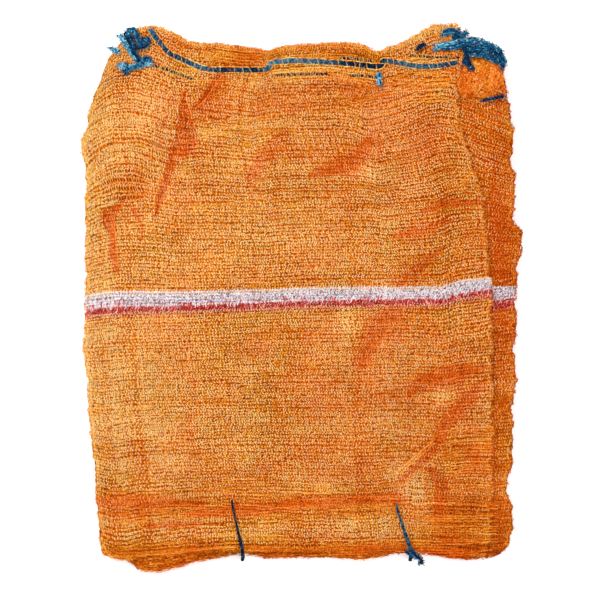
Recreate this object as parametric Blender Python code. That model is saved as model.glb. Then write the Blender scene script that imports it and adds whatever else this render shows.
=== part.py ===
"""A flat bundle of six empty raschel mesh sacks, lying with their mouths towards +Y and held by two ties.

Each sack is a thin closed slab, and the slabs nest without touching. The top sack's drawstring lies on its
hem, and the ends of the other drawstrings come out at the two upper corners. On each side, a tie passes
through the whole bundle near its bottom edge and round that edge.
X runs across the bundle, Y along it and Z through its thickness. The floor is at Z = 0.
Lengths are in millimetres here, and become metres where a mesh or a curve is made.
"""

import math

import bmesh
import bpy
from mathutils import Vector

MM = 0.001

# Driving dimensions of the bundle.
SACKS = 6
SACK_PITCH = 3.5
GAP = 0.3
WIDTH, LENGTH = 440.0, 600.0
EDGE_BAND = 11.0
EDGE_DROP = 0.4
CELLS_ACROSS_TOP = 24
CELLS_ACROSS_LOWER = 8
CELLS_ALONG = 27

# The ties press the bundle thinner towards its bottom edge, and lift it enough to pass beneath.
PRESSED_FROM, PRESSED_TO, PRESSED_SHARE = -150.0, -305.0, 0.2
LIFTED_FROM, LIFTED_TO, LIFT = -120.0, -232.0, 4.2

# Broad waves of the top sack's upper face: height, wavelength across, wavelength along, phase.
WAVES = ((0.9, 168.0, 236.0, 0.6), (0.6, 97.0, -148.0, 2.1), (0.5, -71.0, 83.0, 4.0))

# The cords and the ties.
CORD_RADIUS = 1.9
CORD_STEP = 8.0
CORD_ROUNDNESS = 2
TIE_RADIUS = 1.2
TIE_STEP = 5.0
CLEARANCE = 0.6
HOLE_RADIUS = 4.0
HOLE_SIDES = 8
# A tie's bends: the first one's distance from the hole, the last one's from the edge, the share of its way
# aside that the first has, the bow's height between them, and the return's distance from the edge beneath.
TIE_FIRST_BEND, TIE_LAST_BEND, TIE_ASIDE, TIE_BOW, TIE_RETURN = 9.0, 12.0, 0.08, 2.0, 9.0

# The top sack's outline. The left and right edges run upwards, the bottom and top edges from left to right.
LEFT_EDGE = (
    (-233, -300), (-238, -265), (-243, -189), (-249, -138), (-250, -103), (-255, -59), (-253, 0), (-253, 70),
    (-253, 150), (-258, 182), (-252, 198), (-247, 222), (-239, 246), (-232, 261), (-216, 276),
)
TOP_EDGE = (
    (-216, 276), (-212, 291), (-203, 307), (-188, 317), (-168, 317), (-148, 309), (-125, 299), (-90, 297),
    (-55, 292), (-41, 289), (-20, 295), (15, 297), (41, 299), (68, 297), (87, 289), (103, 294), (121, 300),
    (138, 311), (156, 319), (176, 317), (185, 312),
)
RIGHT_EDGE = (
    (213, -303), (219, -283), (222, -242), (222, -165), (222, -48), (220, 23), (215, 70), (211, 117),
    (198, 158), (185, 199), (181, 246), (189, 279), (185, 312),
)
BOTTOM_EDGE = ((-233, -300), (-206, -307), (-171, -300), (-72, -295), (60, -297), (125, -293), (213, -303))

# The stretches of the lower sacks' outline that show, between their corners.
LOWER_RIGHT_EDGE = (
    (245, -280), (244, -242), (239, -218), (246, -183), (245, -130), (250, -109), (248, -80), (249, -36),
    (251, 15), (249, 35), (256, 50), (255, 77), (246, 92), (250, 109), (247, 126), (249, 143), (245, 155),
    (246, 190), (244, 218), (236, 250),
)
LOWER_BOTTOM_EDGE = (
    (-176, -322), (-150, -317), (-117, -308), (-70, -301), (-30, -305), (68, -306), (125, -298), (175, -305),
)

# From the second sack down to the lowest: how far its left, right and top edges lie inside the outline, how
# far the left and right halves of its bottom edge do, and its corners, the bottom ones before the top ones.
LOWER_SACKS = (
    {"in": (4, 0, 5), "bottom": (14, 8), "corners": ((-228, -297), (229, -295), (-210, 270), (236, 274))},
    {"in": (7, 5, 9), "bottom": (7, 0), "corners": ((-214, -305), (219, -302), (-206, 268), (226, 279))},
    {"in": (3, 12, 4), "bottom": (0, 5), "corners": ((-193, -318), (212, -299), (-212, 272), (208, 286))},
    {"in": (9, 3, 12), "bottom": (10, 12), "corners": ((-222, -300), (226, -291), (-203, 266), (229, 270))},
    {"in": (5, 9, 8), "bottom": (4, 3), "corners": ((-205, -308), (216, -300), (-209, 269), (214, 280))},
)

# Cords that lie on the bundle or by its corners: x, y, and the height over the upper face's level.
HEM_CORD = (
    (-176, 312, 0), (-171, 305, 0), (-160, 291, 0), (-153, 285, 0), (-142, 280, 0), (-120, 270, 0),
    (-102, 267, 0), (-47, 267, 0), (-40, 269, 0), (-35, 275, 0), (-20, 277, 0), (10, 277, 0), (56, 274, 0),
    (89, 271, 0), (95, 277, 0), (103, 277, 0), (118, 274, 0), (138, 271, 0), (162, 272, 0), (182, 275, 0),
)
CORD_ENDS = {
    "left_knob": ((-225, 292, -2), (-219, 290, -1), (-213, 287, 0)),
    "left_strand": ((-214, 307, -2), (-208, 300, 0), (-202, 292, 0), (-197, 284, 0), (-193, 279, 0)),
    "left_loop": (
        (-204, 304, 1), (-202, 312, 1), (-196, 314, 1), (-193, 307, 1), (-190, 299, 1), (-186, 295, 1),
    ),
    "left_low": ((-213, 272, 0), (-203, 270, 0), (-194, 271, 0), (-184, 274, 0), (-175, 275, 0)),
    "right_short": ((165, 309, 0), (173, 312, 0), (182, 311, 0)),
    "right_upper": ((156, 293, 0), (166, 295, 0), (176, 297, 0), (187, 300, 0), (198, 300, 0)),
    "right_slash": ((134, 291, 0), (139, 294, 0), (143, 297, 0)),
    "right_bend": ((202, 293, 0), (214, 293, -1), (226, 290, -2), (233, 283, -2), (236, 274, -1)),
    "right_lower": ((192, 287, 0), (206, 286, 0), (218, 283, 0), (228, 277, 0)),
    "right_tail": ((191, 280, 0), (195, 273, 0), (198, 267, 0)),
    "right_shoulder": ((211, 231, 0), (223, 233, 0), (236, 236, 0)),
    "middle": ((90, 264, 0), (90, 257, 0), (90, 250, 0)),
}

# Each tie: where it enters the bundle from above, and where it goes over the bottom edge.
TIES = {
    "tie_left": {"hole": (-82, -236), "over": (-70, -307)},
    "tie_right": {"hole": (111, -241), "over": (127, -307)},
}
TIE_TAIL = ((128, -297, 3.4), (133, -302, 3.0), (139, -306, 1.6), (140, -312, 0.4))

FINISHES = {
    "mesh": ((0.60, 0.21, 0.03, 1.0), 0.45),
    "cord": ((0.06, 0.24, 0.36, 1.0), 0.55),
    "tie": ((0.02, 0.05, 0.12, 1.0), 0.55),
}


def clear_scene():
    """Removes every object of the open scene."""
    for old in list(bpy.data.objects):
        bpy.data.objects.remove(old, do_unlink=True)


def new_collection(name):
    """A collection of that name, linked to the scene."""
    collection = bpy.data.collections.new(name)
    bpy.context.scene.collection.children.link(collection)
    return collection


def finish_material(name, finish):
    """A plastic with one of the named finishes."""
    colour, roughness = FINISHES[finish]
    material = bpy.data.materials.new(name)
    material.use_nodes = True
    shader = material.node_tree.nodes["Principled BSDF"]
    shader.inputs["Base Color"].default_value = colour
    shader.inputs["Roughness"].default_value = roughness
    shader.inputs["Metallic"].default_value = 0.0
    return material


def place(name, data, finish, collection):
    """An object with its own material, in the collection."""
    made = bpy.data.objects.new(name, data)
    data.materials.append(finish_material(name, finish))
    collection.objects.link(made)
    return made


def rise(low, high, value):
    """0 before low, 1 past high and a smooth rise between. Low may be above high."""
    share = min(1.0, max(0.0, (value - low) / (high - low)))
    return share * share * (3.0 - 2.0 * share)


def along(points, share):
    """The point at that share of the length of a smooth line through the points."""
    points = [Vector(point) for point in points]
    spans = [(b - a).length for a, b in zip(points, points[1:])]
    left = min(1.0, max(0.0, share)) * sum(spans)
    index = 0
    while index < len(spans) - 1 and left > spans[index]:
        left -= spans[index]
        index += 1
    t = left / spans[index]
    p1, p2 = points[index], points[index + 1]
    p0 = points[index - 1] if index else p1
    p3 = points[index + 2] if index + 2 < len(points) else p2
    straight = 2.0 * p0 - 5.0 * p1 + 4.0 * p2 - p3
    turn = 3.0 * p1 - p0 - 3.0 * p2 + p3
    return p1 + 0.5 * ((p2 - p0) * t + straight * t**2 + turn * t**3)


def underside(y):
    """The height of the bundle's lower face."""
    return LIFT * rise(LIFTED_FROM, LIFTED_TO, y)


def upper_level(y):
    """The height of the bundle's upper face, without its waves."""
    return SACKS * SACK_PITCH * (1.0 - PRESSED_SHARE * rise(PRESSED_FROM, PRESSED_TO, y))


def level(y, share):
    """The height at a share of the bundle's thickness, from 0 at its lower face to 1 at its upper face."""
    return underside(y) + share * (upper_level(y) - underside(y))


def waves(x, y):
    """How far the upper face rises over its level."""
    return sum(
        height * math.sin(2.0 * math.pi * (x / across + y / length) + phase)
        for height, across, length, phase in WAVES
    )


def patch(edges, s, t):
    """The point of a sheet stretched between its left, right, bottom and top edges."""
    left, right, bottom, top = edges
    sides = (1.0 - s) * along(left, t) + s * along(right, t)
    ends = (1.0 - t) * along(bottom, s) + t * along(top, s)
    low = (1.0 - s) * Vector(bottom[0]) + s * Vector(bottom[-1])
    high = (1.0 - s) * Vector(top[0]) + s * Vector(top[-1])
    return sides + ends - (1.0 - t) * low - t * high


def lower_edges(sack):
    """The left, right, bottom and top edges of one of the lower sacks."""
    low_left, low_right, high_left, high_right = sack["corners"]
    left_in, right_in, top_in = sack["in"]
    left = [low_left] + [(x + left_in, y) for x, y in LEFT_EDGE[1:-1]] + [high_left]
    right = [low_right] + [(x - right_in, y) for x, y in LOWER_RIGHT_EDGE] + [high_right]
    bottom = [low_left] + [(x, y + sack["bottom"][x > 0]) for x, y in LOWER_BOTTOM_EDGE] + [low_right]
    top = [high_left] + [(x, y - top_in) for x, y in TOP_EDGE[2:-1]] + [high_right]
    return left, right, bottom, top


def stations(cells, length):
    """Shares of a length: its ends, the inner edges of both edge bands, and even steps between those."""
    band = EDGE_BAND / length
    inner = [band + (1.0 - 2.0 * band) * index / (cells - 2) for index in range(cells - 1)]
    return [0.0] + inner + [1.0]


def sack_mesh(name, edges, cells_across, number):
    """A closed slab between two of the bundle's levels. Number 1 is the top sack."""
    across = stations(cells_across, WIDTH)
    lengthwise = stations(CELLS_ALONG, LENGTH)
    mesh_maker = bmesh.new()
    bmesh.ops.create_grid(mesh_maker, x_segments=cells_across, y_segments=CELLS_ALONG, size=0.5)
    grid_faces = mesh_maker.faces[:]
    raised = bmesh.ops.extrude_face_region(mesh_maker, geom=grid_faces, use_keep_orig=True)
    upper = {item for item in raised["geom"] if isinstance(item, bmesh.types.BMVert)}
    for vertex in mesh_maker.verts:
        column = round((vertex.co.x + 0.5) * cells_across)
        row = round((vertex.co.y + 0.5) * CELLS_ALONG)
        x, y = patch(edges, across[column], lengthwise[row])
        rim = column in (0, cells_across) or row in (0, CELLS_ALONG)
        low = level(y, (SACKS - number) / SACKS) + (GAP / 2.0 if number < SACKS else 0.0)
        high = level(y, (SACKS - number + 1) / SACKS) - GAP / 2.0
        high += waves(x, y) if number == 1 else 0.0
        drop = EDGE_DROP * (high - low) if rim else 0.0
        vertex.co = Vector((x, y, high - drop if vertex in upper else low)) * MM
    bmesh.ops.recalc_face_normals(mesh_maker, faces=mesh_maker.faces)
    mesh = bpy.data.meshes.new(name)
    mesh_maker.to_mesh(mesh)
    mesh_maker.free()
    mesh.shade_smooth()
    return mesh


def hole_cutter(name, hole, collection):
    """A guide cylinder that opens every sack where a tie passes through."""
    maker = bmesh.new()
    bmesh.ops.create_cone(
        maker, cap_ends=True, segments=HOLE_SIDES, radius1=HOLE_RADIUS * MM, radius2=HOLE_RADIUS * MM,
        depth=4.0 * SACKS * SACK_PITCH * MM,
    )
    mesh = bpy.data.meshes.new(name)
    maker.to_mesh(mesh)
    maker.free()
    cutter = bpy.data.objects.new(name, mesh)
    cutter.location = Vector((hole[0], hole[1], 0.0)) * MM
    cutter.hide_render = True
    cutter.display_type = "WIRE"
    collection.objects.link(cutter)
    return cutter


def cut(sack, cutter):
    """Subtracts the cutter from the sack."""
    modifier = sack.modifiers.new(cutter.name, "BOOLEAN")
    modifier.operation = "DIFFERENCE"
    modifier.solver = "EXACT"
    modifier.object = cutter


def tube(name, route, radius, step, closed=False):
    """A round cord along a smooth line through the route."""
    length = sum(math.dist(a, b) for a, b in zip(route, route[1:]))
    count = max(3, round(length / step))
    points = [along(route, index / count) for index in range(count if closed else count + 1)]
    curve = bpy.data.curves.new(name, "CURVE")
    curve.dimensions = "3D"
    curve.bevel_depth = radius * MM
    curve.bevel_resolution = CORD_ROUNDNESS
    curve.use_fill_caps = not closed
    spline = curve.splines.new("POLY")
    spline.points.add(len(points) - 1)
    for point, place_at in zip(spline.points, points):
        point.co = (*(place_at * MM), 1.0)
    spline.use_cyclic_u = closed
    return curve


def on_top(route, radius):
    """A route whose heights are counted from the bundle's upper face, raised to clear it."""
    return [(x, y, upper_level(y) + waves(x, y) + radius + CLEARANCE + height) for x, y, height in route]


def tie_route(tie):
    """A closed route: over the top, round the bottom edge, back beneath and up through the hole."""
    hole_x, hole_y = tie["hole"]
    over_x, over_y = tie["over"]
    proud = TIE_RADIUS + CLEARANCE
    near_x, near_y = hole_x + (over_x - hole_x) * TIE_ASIDE, hole_y - TIE_FIRST_BEND
    edge_y = over_y + TIE_LAST_BEND
    top = [
        (near_x, near_y, upper_level(near_y) + waves(near_x, near_y) + proud),
        (0.5 * (near_x + over_x), 0.5 * (near_y + edge_y), upper_level(hole_y) + TIE_BOW + proud),
        (over_x, edge_y, upper_level(edge_y) + waves(over_x, edge_y) + proud),
    ]
    middle = 0.5 * (upper_level(over_y) + underside(over_y))
    turn = [(over_x, over_y, middle + 2.0 * TIE_RADIUS), (over_x, over_y, middle - 2.0 * TIE_RADIUS)]
    bottom = [(over_x, over_y + TIE_RETURN, proud), (near_x, near_y, proud)]
    through = [
        (hole_x, hole_y, LIFT + CLEARANCE),
        (hole_x, hole_y, 0.5 * upper_level(hole_y)),
        (hole_x, hole_y, upper_level(hole_y) + CLEARANCE),
    ]
    return top + turn + bottom + through + top[:1]


def centre(objects):
    """Moves all the objects together so that the middle of their common box is over the origin."""
    bpy.context.view_layer.update()
    corners = [item.matrix_world @ Vector(corner) for item in objects for corner in item.bound_box]
    for axis in (0, 1):
        values = [corner[axis] for corner in corners]
        middle = 0.5 * (min(values) + max(values))
        for item in objects:
            item.location[axis] -= middle


def build():
    """Makes the whole bundle."""
    clear_scene()
    bundle = new_collection("raschel_mesh_sacks")
    guides = new_collection("cutters")
    outlines = [(LEFT_EDGE, RIGHT_EDGE, BOTTOM_EDGE, TOP_EDGE)] + [lower_edges(sack) for sack in LOWER_SACKS]
    cutters = [hole_cutter("hole_" + name, tie["hole"], guides) for name, tie in TIES.items()]
    for number, edges in enumerate(outlines, start=1):
        cells = CELLS_ACROSS_TOP if number == 1 else CELLS_ACROSS_LOWER
        sack = place(f"sack_{number}", sack_mesh(f"sack_{number}", edges, cells, number), "mesh", bundle)
        for cutter in cutters:
            cut(sack, cutter)
    place("hem_cord", tube("hem_cord", on_top(HEM_CORD, CORD_RADIUS), CORD_RADIUS, CORD_STEP), "cord", bundle)
    for name, route in CORD_ENDS.items():
        cord = tube("cord_" + name, on_top(route, CORD_RADIUS), CORD_RADIUS, 0.5 * CORD_STEP)
        place("cord_" + name, cord, "cord", bundle)
    for name, tie in TIES.items():
        place(name, tube(name, tie_route(tie), TIE_RADIUS, TIE_STEP, closed=True), "tie", bundle)
    tail = tube("tie_right_tail", on_top(TIE_TAIL, TIE_RADIUS), TIE_RADIUS, TIE_STEP)
    place("tie_right_tail", tail, "tie", bundle)
    centre(list(bundle.objects) + list(guides.objects))


build()
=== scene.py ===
"""The looks of a flat bundle of empty raschel mesh sacks, with drawstrings and two ties.

Every wall of knitted mesh is made of flat tapes: pillar-stitch chains that run across the bundle, and inlay
tapes that cross from chain to chain. Sizes are in millimetres of the bundle, and become metres where meshes
are made.
"""

import math

import bpy
import numpy as np
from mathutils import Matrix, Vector


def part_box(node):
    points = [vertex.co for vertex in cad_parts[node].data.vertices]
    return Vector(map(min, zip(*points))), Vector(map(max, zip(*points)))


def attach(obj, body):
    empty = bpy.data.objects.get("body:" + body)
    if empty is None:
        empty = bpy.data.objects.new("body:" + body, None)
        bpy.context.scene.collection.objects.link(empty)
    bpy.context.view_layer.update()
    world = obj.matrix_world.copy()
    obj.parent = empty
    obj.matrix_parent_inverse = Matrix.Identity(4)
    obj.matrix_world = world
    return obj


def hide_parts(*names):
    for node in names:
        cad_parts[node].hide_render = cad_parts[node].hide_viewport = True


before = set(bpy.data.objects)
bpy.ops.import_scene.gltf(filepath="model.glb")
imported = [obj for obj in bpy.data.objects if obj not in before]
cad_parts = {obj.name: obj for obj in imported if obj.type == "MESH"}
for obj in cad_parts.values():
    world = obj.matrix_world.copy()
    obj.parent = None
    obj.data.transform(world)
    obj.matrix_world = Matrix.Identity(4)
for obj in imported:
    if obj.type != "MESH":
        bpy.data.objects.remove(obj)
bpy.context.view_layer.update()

MM = 0.001
SEED = 20
RNG = np.random.default_rng(SEED)

# The photograph: millimetres to a pixel at the bundle's upper face, its size, and the pixel over the
# bundle's zero.
MM_PER_PIXEL = 1.17
IMAGE_PIXELS = 610
ZERO_PIXEL = (302.0, 298.0)

# Levels of the stack, as the frame has them: the sacks, the lengths over which the bundle is pressed flat
# and is lifted off the floor, and the top sack's waves, each with its height, its two wavelengths and its
# phase.
SACKS = 6
SACK_PITCH = 3.5
PRESSED_FROM, PRESSED_TO, PRESSED_SHARE = -150.0, -305.0, 0.2
LIFTED_FROM, LIFTED_TO, LIFT = -120.0, -232.0, 4.2
WAVES = ((0.9, 168.0, 236.0, 0.6), (0.6, 97.0, -148.0, 2.1), (0.5, -71.0, 83.0, 4.0))
# How far a sack's walls lie inside its slab, the width over which they roll together at its rim, the width
# that shares across a sack are counted in, the steps that tell a wall's directions, and the least height
# over the floor.
WALL_INSET, ROLLED, WIDTH = 0.45, 4.0, 440.0
SHARE_STEP, HEIGHT_STEP = 0.002, 0.6
FLOOR_GAP = 0.05
ABOVE = np.array([0.0, 0.0, 1.0])

# The knit: distances between chains and between courses, the lengths that the courses of the top sack and
# of the lower ones fill, how far a chain's stitches open, the tapes' half-widths, how far the second
# wall's chains lie from the first one's, how far every other chain moves where the mesh is pulled open,
# and the distance between long lines.
ROW_PITCH = 3.7
COURSE_PITCH = 2.95
TOP_LENGTH, LOWER_LENGTH = 473.0, 480.0
CHAIN_OPENING = 0.8
CHAIN_TAPE = 0.5
INLAY_TAPE = 0.42
WALL_SHIFT = 1.8
OPEN_SHIFT = 1.2
LINE_PITCH = 2.9
# The bright loop on every course, a painted highlight: its points as distances across, along and out and
# a share of the highlight, the tape's half-width, the highlight, the middle that its tape is turned about,
# and the ranges of its size, light and turn.
LOOP = ((0.9, 1.45, 0.1, 0.5), (-0.5, 0.8, 0.5, 1.1), (-0.5, -0.8, 0.5, 1.1), (0.9, -1.45, 0.1, 0.5))
LOOP_TAPE = 0.36
LOOP_HIGHLIGHT = 0.46
LOOP_HEART, LOOP_OVAL = 1.2, 0.6
LOOP_SIZES, LOOP_SHINES, LOOP_DIM = (0.75, 1.25), (0.4, 1.5), (0.3, 1.2)
LOOP_TURN, LOOP_DRIFT = 0.45, 0.35
# How the knit strays: smooth drifts of a chain across, along and in tone, the spread of its nodes in the
# sheet and out of it, and the tapes' range of widths.
SHARE_DRIFT, ROW_DRIFT, TONE_DRIFT = 0.0010, 0.3, 0.05
NODE_SPREAD, LIFT_SPREAD = 0.28, 0.15
WIDTH_RANGE = (0.7, 1.3)
# Chains: the spread of their tilt and tone, how far their tapes slant, and how much wider they are without
# loops.
CHAIN_TILT, CHAIN_TONES, CHAIN_SLANT, PLAIN_CHAIN = 0.4, 0.10, 0.3, 1.6
# Inlays: the spread of their tilt, tone, tone within a tape and crimp, how far they sink, and their
# widths.
INLAY_TILT, INLAY_TONES, STATION_TONES, INLAY_CRIMP, INLAY_SINK = 0.5, 0.12, 0.05, 0.5, 0.3
RICH_INLAY, PLAIN_INLAY = 1.2, 2.4
# Straight inlays between holes: their shares of the width and crimp, and how much lighter they are.
STRAIGHT_WIDTH, STRAIGHT_CRIMP, STRAIGHT_TONE = 0.65, 0.2, 0.3
# Tones: painted shade on the chains and inlays under the loops, and where the mesh is open, a little
# lighter on the front and painted shade behind it.
UNDER_TONE = -0.16
OPEN_TONE, OPEN_SHADE = 0.02, 0.15
# How much weaker the loops' painted highlights are where the mesh is open and in pressed folds.
OPEN_CALM, FOLD_CALM = 0.3, 0.3

# The top sack's outline. The left and right edges run upwards, the bottom and top edges from left to
# right.
LEFT_EDGE = (
    (-233, -300), (-238, -265), (-243, -189), (-249, -138), (-250, -103), (-255, -59), (-253, 0), (-253, 70),
    (-253, 150), (-258, 182), (-252, 198), (-247, 222), (-239, 246), (-232, 261), (-216, 276),
)
TOP_EDGE = (
    (-216, 276), (-212, 291), (-203, 307), (-188, 317), (-168, 317), (-148, 309), (-125, 299), (-90, 297),
    (-55, 292), (-41, 289), (-20, 295), (15, 297), (41, 299), (68, 297), (87, 289), (103, 294), (121, 300),
    (138, 311), (156, 319), (176, 317), (185, 312),
)
RIGHT_EDGE = (
    (213, -303), (219, -283), (222, -242), (222, -165), (222, -48), (220, 23), (215, 70), (211, 117),
    (198, 158), (185, 199), (181, 246), (189, 279), (185, 312),
)
BOTTOM_EDGE = ((-233, -300), (-206, -307), (-171, -300), (-72, -295), (60, -297), (125, -293), (213, -303))
LOWER_RIGHT_EDGE = (
    (245, -280), (244, -242), (239, -218), (246, -183), (245, -130), (250, -109), (248, -80), (249, -36),
    (251, 15), (249, 35), (256, 50), (255, 77), (246, 92), (250, 109), (247, 126), (249, 143), (245, 155),
    (246, 190), (244, 218), (236, 250),
)
LOWER_BOTTOM_EDGE = (
    (-176, -322), (-150, -317), (-117, -308), (-70, -301), (-30, -305), (68, -306), (125, -298), (175, -305),
    (209, -306),
)
# The lower sacks, from the second one down: how far the left, right and top edges lie further in, how far
# the left and right halves of the bottom edge lie higher, and the corners at the lower left and right and
# the upper ones.
LOWER_SACKS = (
    {"in": (4, 0, 5), "bottom": (14, 8), "corners": ((-228, -297), (237, -296), (-210, 270), (236, 274))},
    {"in": (7, 5, 9), "bottom": (7, 0), "corners": ((-214, -305), (232, -300), (-206, 268), (226, 279))},
    {"in": (3, 12, 4), "bottom": (0, 5), "corners": ((-193, -318), (229, -302), (-212, 272), (208, 286))},
    {"in": (9, 3, 12), "bottom": (10, 12), "corners": ((-222, -300), (226, -291), (-203, 266), (229, 270))},
    {"in": (5, 9, 8), "bottom": (4, 3), "corners": ((-205, -308), (216, -300), (-209, 269), (214, 280))},
)
# Ripples of every edge: height, wavelength and phase, how strong they are on the left, right, bottom and
# top, the length over which they die away at an edge's ends, and the turn of phase from one edge to the
# next.
RIPPLES = ((0.7, 25.0, 0.4), (0.6, 13.7, 2.0), (0.5, 7.3, 1.1), (0.8, 57.0, 3.3))
RIPPLE_SHARES = (0.9, 1.5, 0.5, 0.5)
RIPPLE_END, RIPPLE_TURN = 15.0, 1.7

# The selvedge: its lanes, the tape's half-width, and the steps of its points and of its directions.
SELVEDGE_LANES, SELVEDGE_TAPE, SELVEDGE_STEP, EDGE_STEP = 5, 0.6, 2.3, 0.004
# The fringe: the distance between loops, how far they reach, the range of their width, and their points as
# shares of it ahead and of the reach out.
FRINGE_STEP, FRINGE_REACH, FRINGE_LEAN = 2.2, 1.9, (1.0, 3.4)
FRINGE_LOOP = ((-0.5, -1.2), (-0.45, 0.4), (0.0, 1.0), (0.45, 0.4), (0.5, -1.2))
# Where the edges' shade begins and is full towards the right.
RIGHT_SIDE = (150.0, 210.0)

# Rows of the coloured band, as heights over its line, where the orange rows begin, how far the rows
# beneath lie lower, and how far the band drops from one of the lower sacks to the next.
WHITE_ROWS = np.array([1.4, 4.8, 8.1, 11.4, 15.0])
RED_ROWS = np.array([-9.2, -6.2, -3.3, -0.6])
ORANGE_ABOVE, ORANGE_BELOW = 13.6, -7.6
BAND_UNDER, BAND_DROP = -1.2, -3.0
# Slanted strokes of the band's tapes: the heights that they start at, their length, tone, and share of the
# courses.
BAND_STROKES = {
    "white": (((1.5, 12.0), 2.6, -0.05, 1.1), ((-3.5, -1.0), 4.6, 0.42, 0.5)),
    "red": (((-9.5, -3.0), 4.5, 0.58, 0.65), ((-2.0, 1.5), 4.4, 0.28, 0.7), ((-9.0, -2.0), 3.0, -0.05, 0.6)),
}
STROKE_LEAN, STROKE_LIFT = 1.1, 0.75

# Cords: the steps of the strands', the dashes' and the ties' points, the half-width and half-height of the
# hem's cord and of the dashes, and the tapes that run beside the hem's cord.
CORD_STEP, DASH_STEP, TIE_STEP = 1.4, 1.1, 1.2
HEM_CORD_HALVES, DASH_HALVES = (2.9, 0.8), (1.5, 0.5)
HEM_SIDES = (-3.5, 3.4)
# The stitches on a flat cord: their swing to each side, half-width and painted highlight. The tufts: how
# many to a point and millimetre of half-width, and their reach. The lacing: its points' shares of the
# reach and height, and half-width.
STITCH_SWINGS, STITCH_TAPE, STITCH_HIGHLIGHT = (0.75, -0.15), 0.36, 0.26
TUFTS, TUFT_REACH = 1.3, (1.3, 3.4)
LACING = ((-1.0, -0.3), (-0.5, 1.0), (0.0, 1.25), (0.5, 1.0), (1.0, -0.3))
LACING_TAPE = 0.32
# Routes of the cords on the upper face: x, y, and the height over its level. The first ones repeat the
# solids' own.
HEM_CORD = (
    (-176, 312, 0), (-171, 305, 0), (-160, 291, 0), (-153, 285, 0), (-142, 280, 0), (-120, 270, 0),
    (-102, 267, 0), (-47, 267, 0), (-40, 269, 0), (-35, 275, 0), (-20, 277, 0), (10, 277, 0), (56, 274, 0),
    (89, 271, 0), (95, 277, 0), (103, 277, 0), (118, 274, 0), (138, 271, 0), (162, 272, 0), (182, 275, 0),
)
# The hem cord's tones at shares of its length, which are low where the hem covers it, as painted shade.
HEM_CORD_TONES = (
    (0.0, 0.5), (0.12, 0.45), (0.2, 0.62), (0.27, 0.15), (0.31, 0.45), (0.36, 0.2), (0.41, 0.7), (0.52, 0.66),
    (0.6, 0.5), (0.66, 0.15), (0.74, 0.08), (0.78, 0.3), (0.84, 0.62), (0.93, 0.6), (1.0, 0.4),
)
CORD_ENDS = {
    "left_knob": ((-225, 292, -2), (-219, 290, -1), (-213, 287, 0)),
    "left_strand": ((-214, 307, -2), (-208, 300, 0), (-202, 292, 0), (-197, 284, 0), (-193, 279, 0)),
    "left_loop": (
        (-204, 304, 1), (-202, 312, 1), (-196, 314, 1), (-193, 307, 1), (-190, 299, 1), (-186, 295, 1),
    ),
    "left_low": ((-213, 272, 0), (-203, 270, 0), (-194, 271, 0), (-184, 274, 0), (-175, 275, 0)),
    "right_short": ((165, 309, 0), (173, 312, 0), (182, 311, 0)),
    "right_upper": ((156, 293, 0), (166, 295, 0), (176, 297, 0), (187, 300, 0), (198, 300, 0)),
    "right_slash": ((134, 291, 0), (139, 294, 0), (143, 297, 0)),
    "right_bend": ((202, 293, 0), (214, 293, -1), (226, 290, -2), (233, 283, -2), (236, 274, -1)),
    "right_lower": ((192, 287, 0), (206, 286, 0), (218, 283, 0), (228, 277, 0)),
    "right_tail": ((191, 280, 0), (195, 273, 0), (198, 267, 0)),
    "right_shoulder": ((211, 231, 0), (223, 233, 0), (236, 236, 0)),
    "middle": ((90, 264, 0), (90, 257, 0), (90, 250, 0)),
}
# How each of those looks: half-width, tone, and how many fibres fray at its first and last end.
CORD_LOOKS = {
    "left_knob": (2.4, 0.62, 5, 0), "left_strand": (2.9, 0.58, 3, 0), "left_loop": (2.5, 0.32, 0, 0),
    "left_low": (2.8, 0.68, 5, 0), "right_short": (3.0, 0.42, 9, 9), "right_upper": (3.2, 0.62, 9, 3),
    "right_slash": (2.1, -0.1, 3, 0), "right_bend": (3.6, 0.42, 5, 12), "right_lower": (3.4, 0.40, 4, 12),
    "right_tail": (2.9, 0.08, 0, 3), "right_shoulder": (1.4, 0.12, 3, 3), "middle": (2.3, 0.6, 0, 5),
}
# Further strands of the two corner bunches, each with the node it goes with: route, half-width and tone.
EXTRA_STRANDS = (
    ("left_loop", ((-199, 305, 2), (-199, 298, 3), (-197, 290, 2), (-195, 284, 1)), 2.0, 0.12),
    ("left_loop", ((-203, 296, 2), (-194, 293, 3), (-187, 293, 3), (-181, 296, 2)), 2.0, 0.2),
    ("left_loop", ((-186, 300, 1), (-182, 304, 2), (-178, 300, 2), (-181, 296, 1)), 1.8, 0.3),
    (
        "left_strand",
        ((-207, 310, -1), (-203, 303, 2), (-200, 296, 3), (-196, 287, 2), (-191, 279, 1)), 2.2, 0.1,
    ),
    ("left_low", ((-209, 265, 0), (-203, 268, 1), (-190, 272, 2), (-182, 281, 2), (-177, 276, 1)), 2.0, 0.4),
    ("left_low", ((-205, 273, 1), (-204, 268, 1), (-206, 262, 0)), 1.8, 0.1),
    ("right_short", ((178, 302, 0), (182, 307, 2), (188, 306, 3), (193, 311, 2)), 2.6, 0.25),
    ("right_bend", ((192, 299, 0), (201, 302, 2), (212, 299, 2), (222, 295, 1), (231, 291, -1)), 2.6, 0.34),
    ("right_lower", ((190, 293, 0), (197, 289, 2), (208, 291, 3), (221, 290, 2), (234, 288, 0)), 2.6, 0.26),
    ("right_lower", ((190, 297, 1), (191, 289, 3), (193, 281, 2), (190, 274, 0)), 2.6, 0.14),
    ("right_bend", ((219, 292, 2), (226, 287, 2), (233, 279, 1), (235, 269, 0)), 2.4, 0.26),
    ("right_upper", ((166, 292, 1), (178, 293, 2), (190, 296, 3), (201, 294, 1)), 2.4, 0.3),
)
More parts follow.
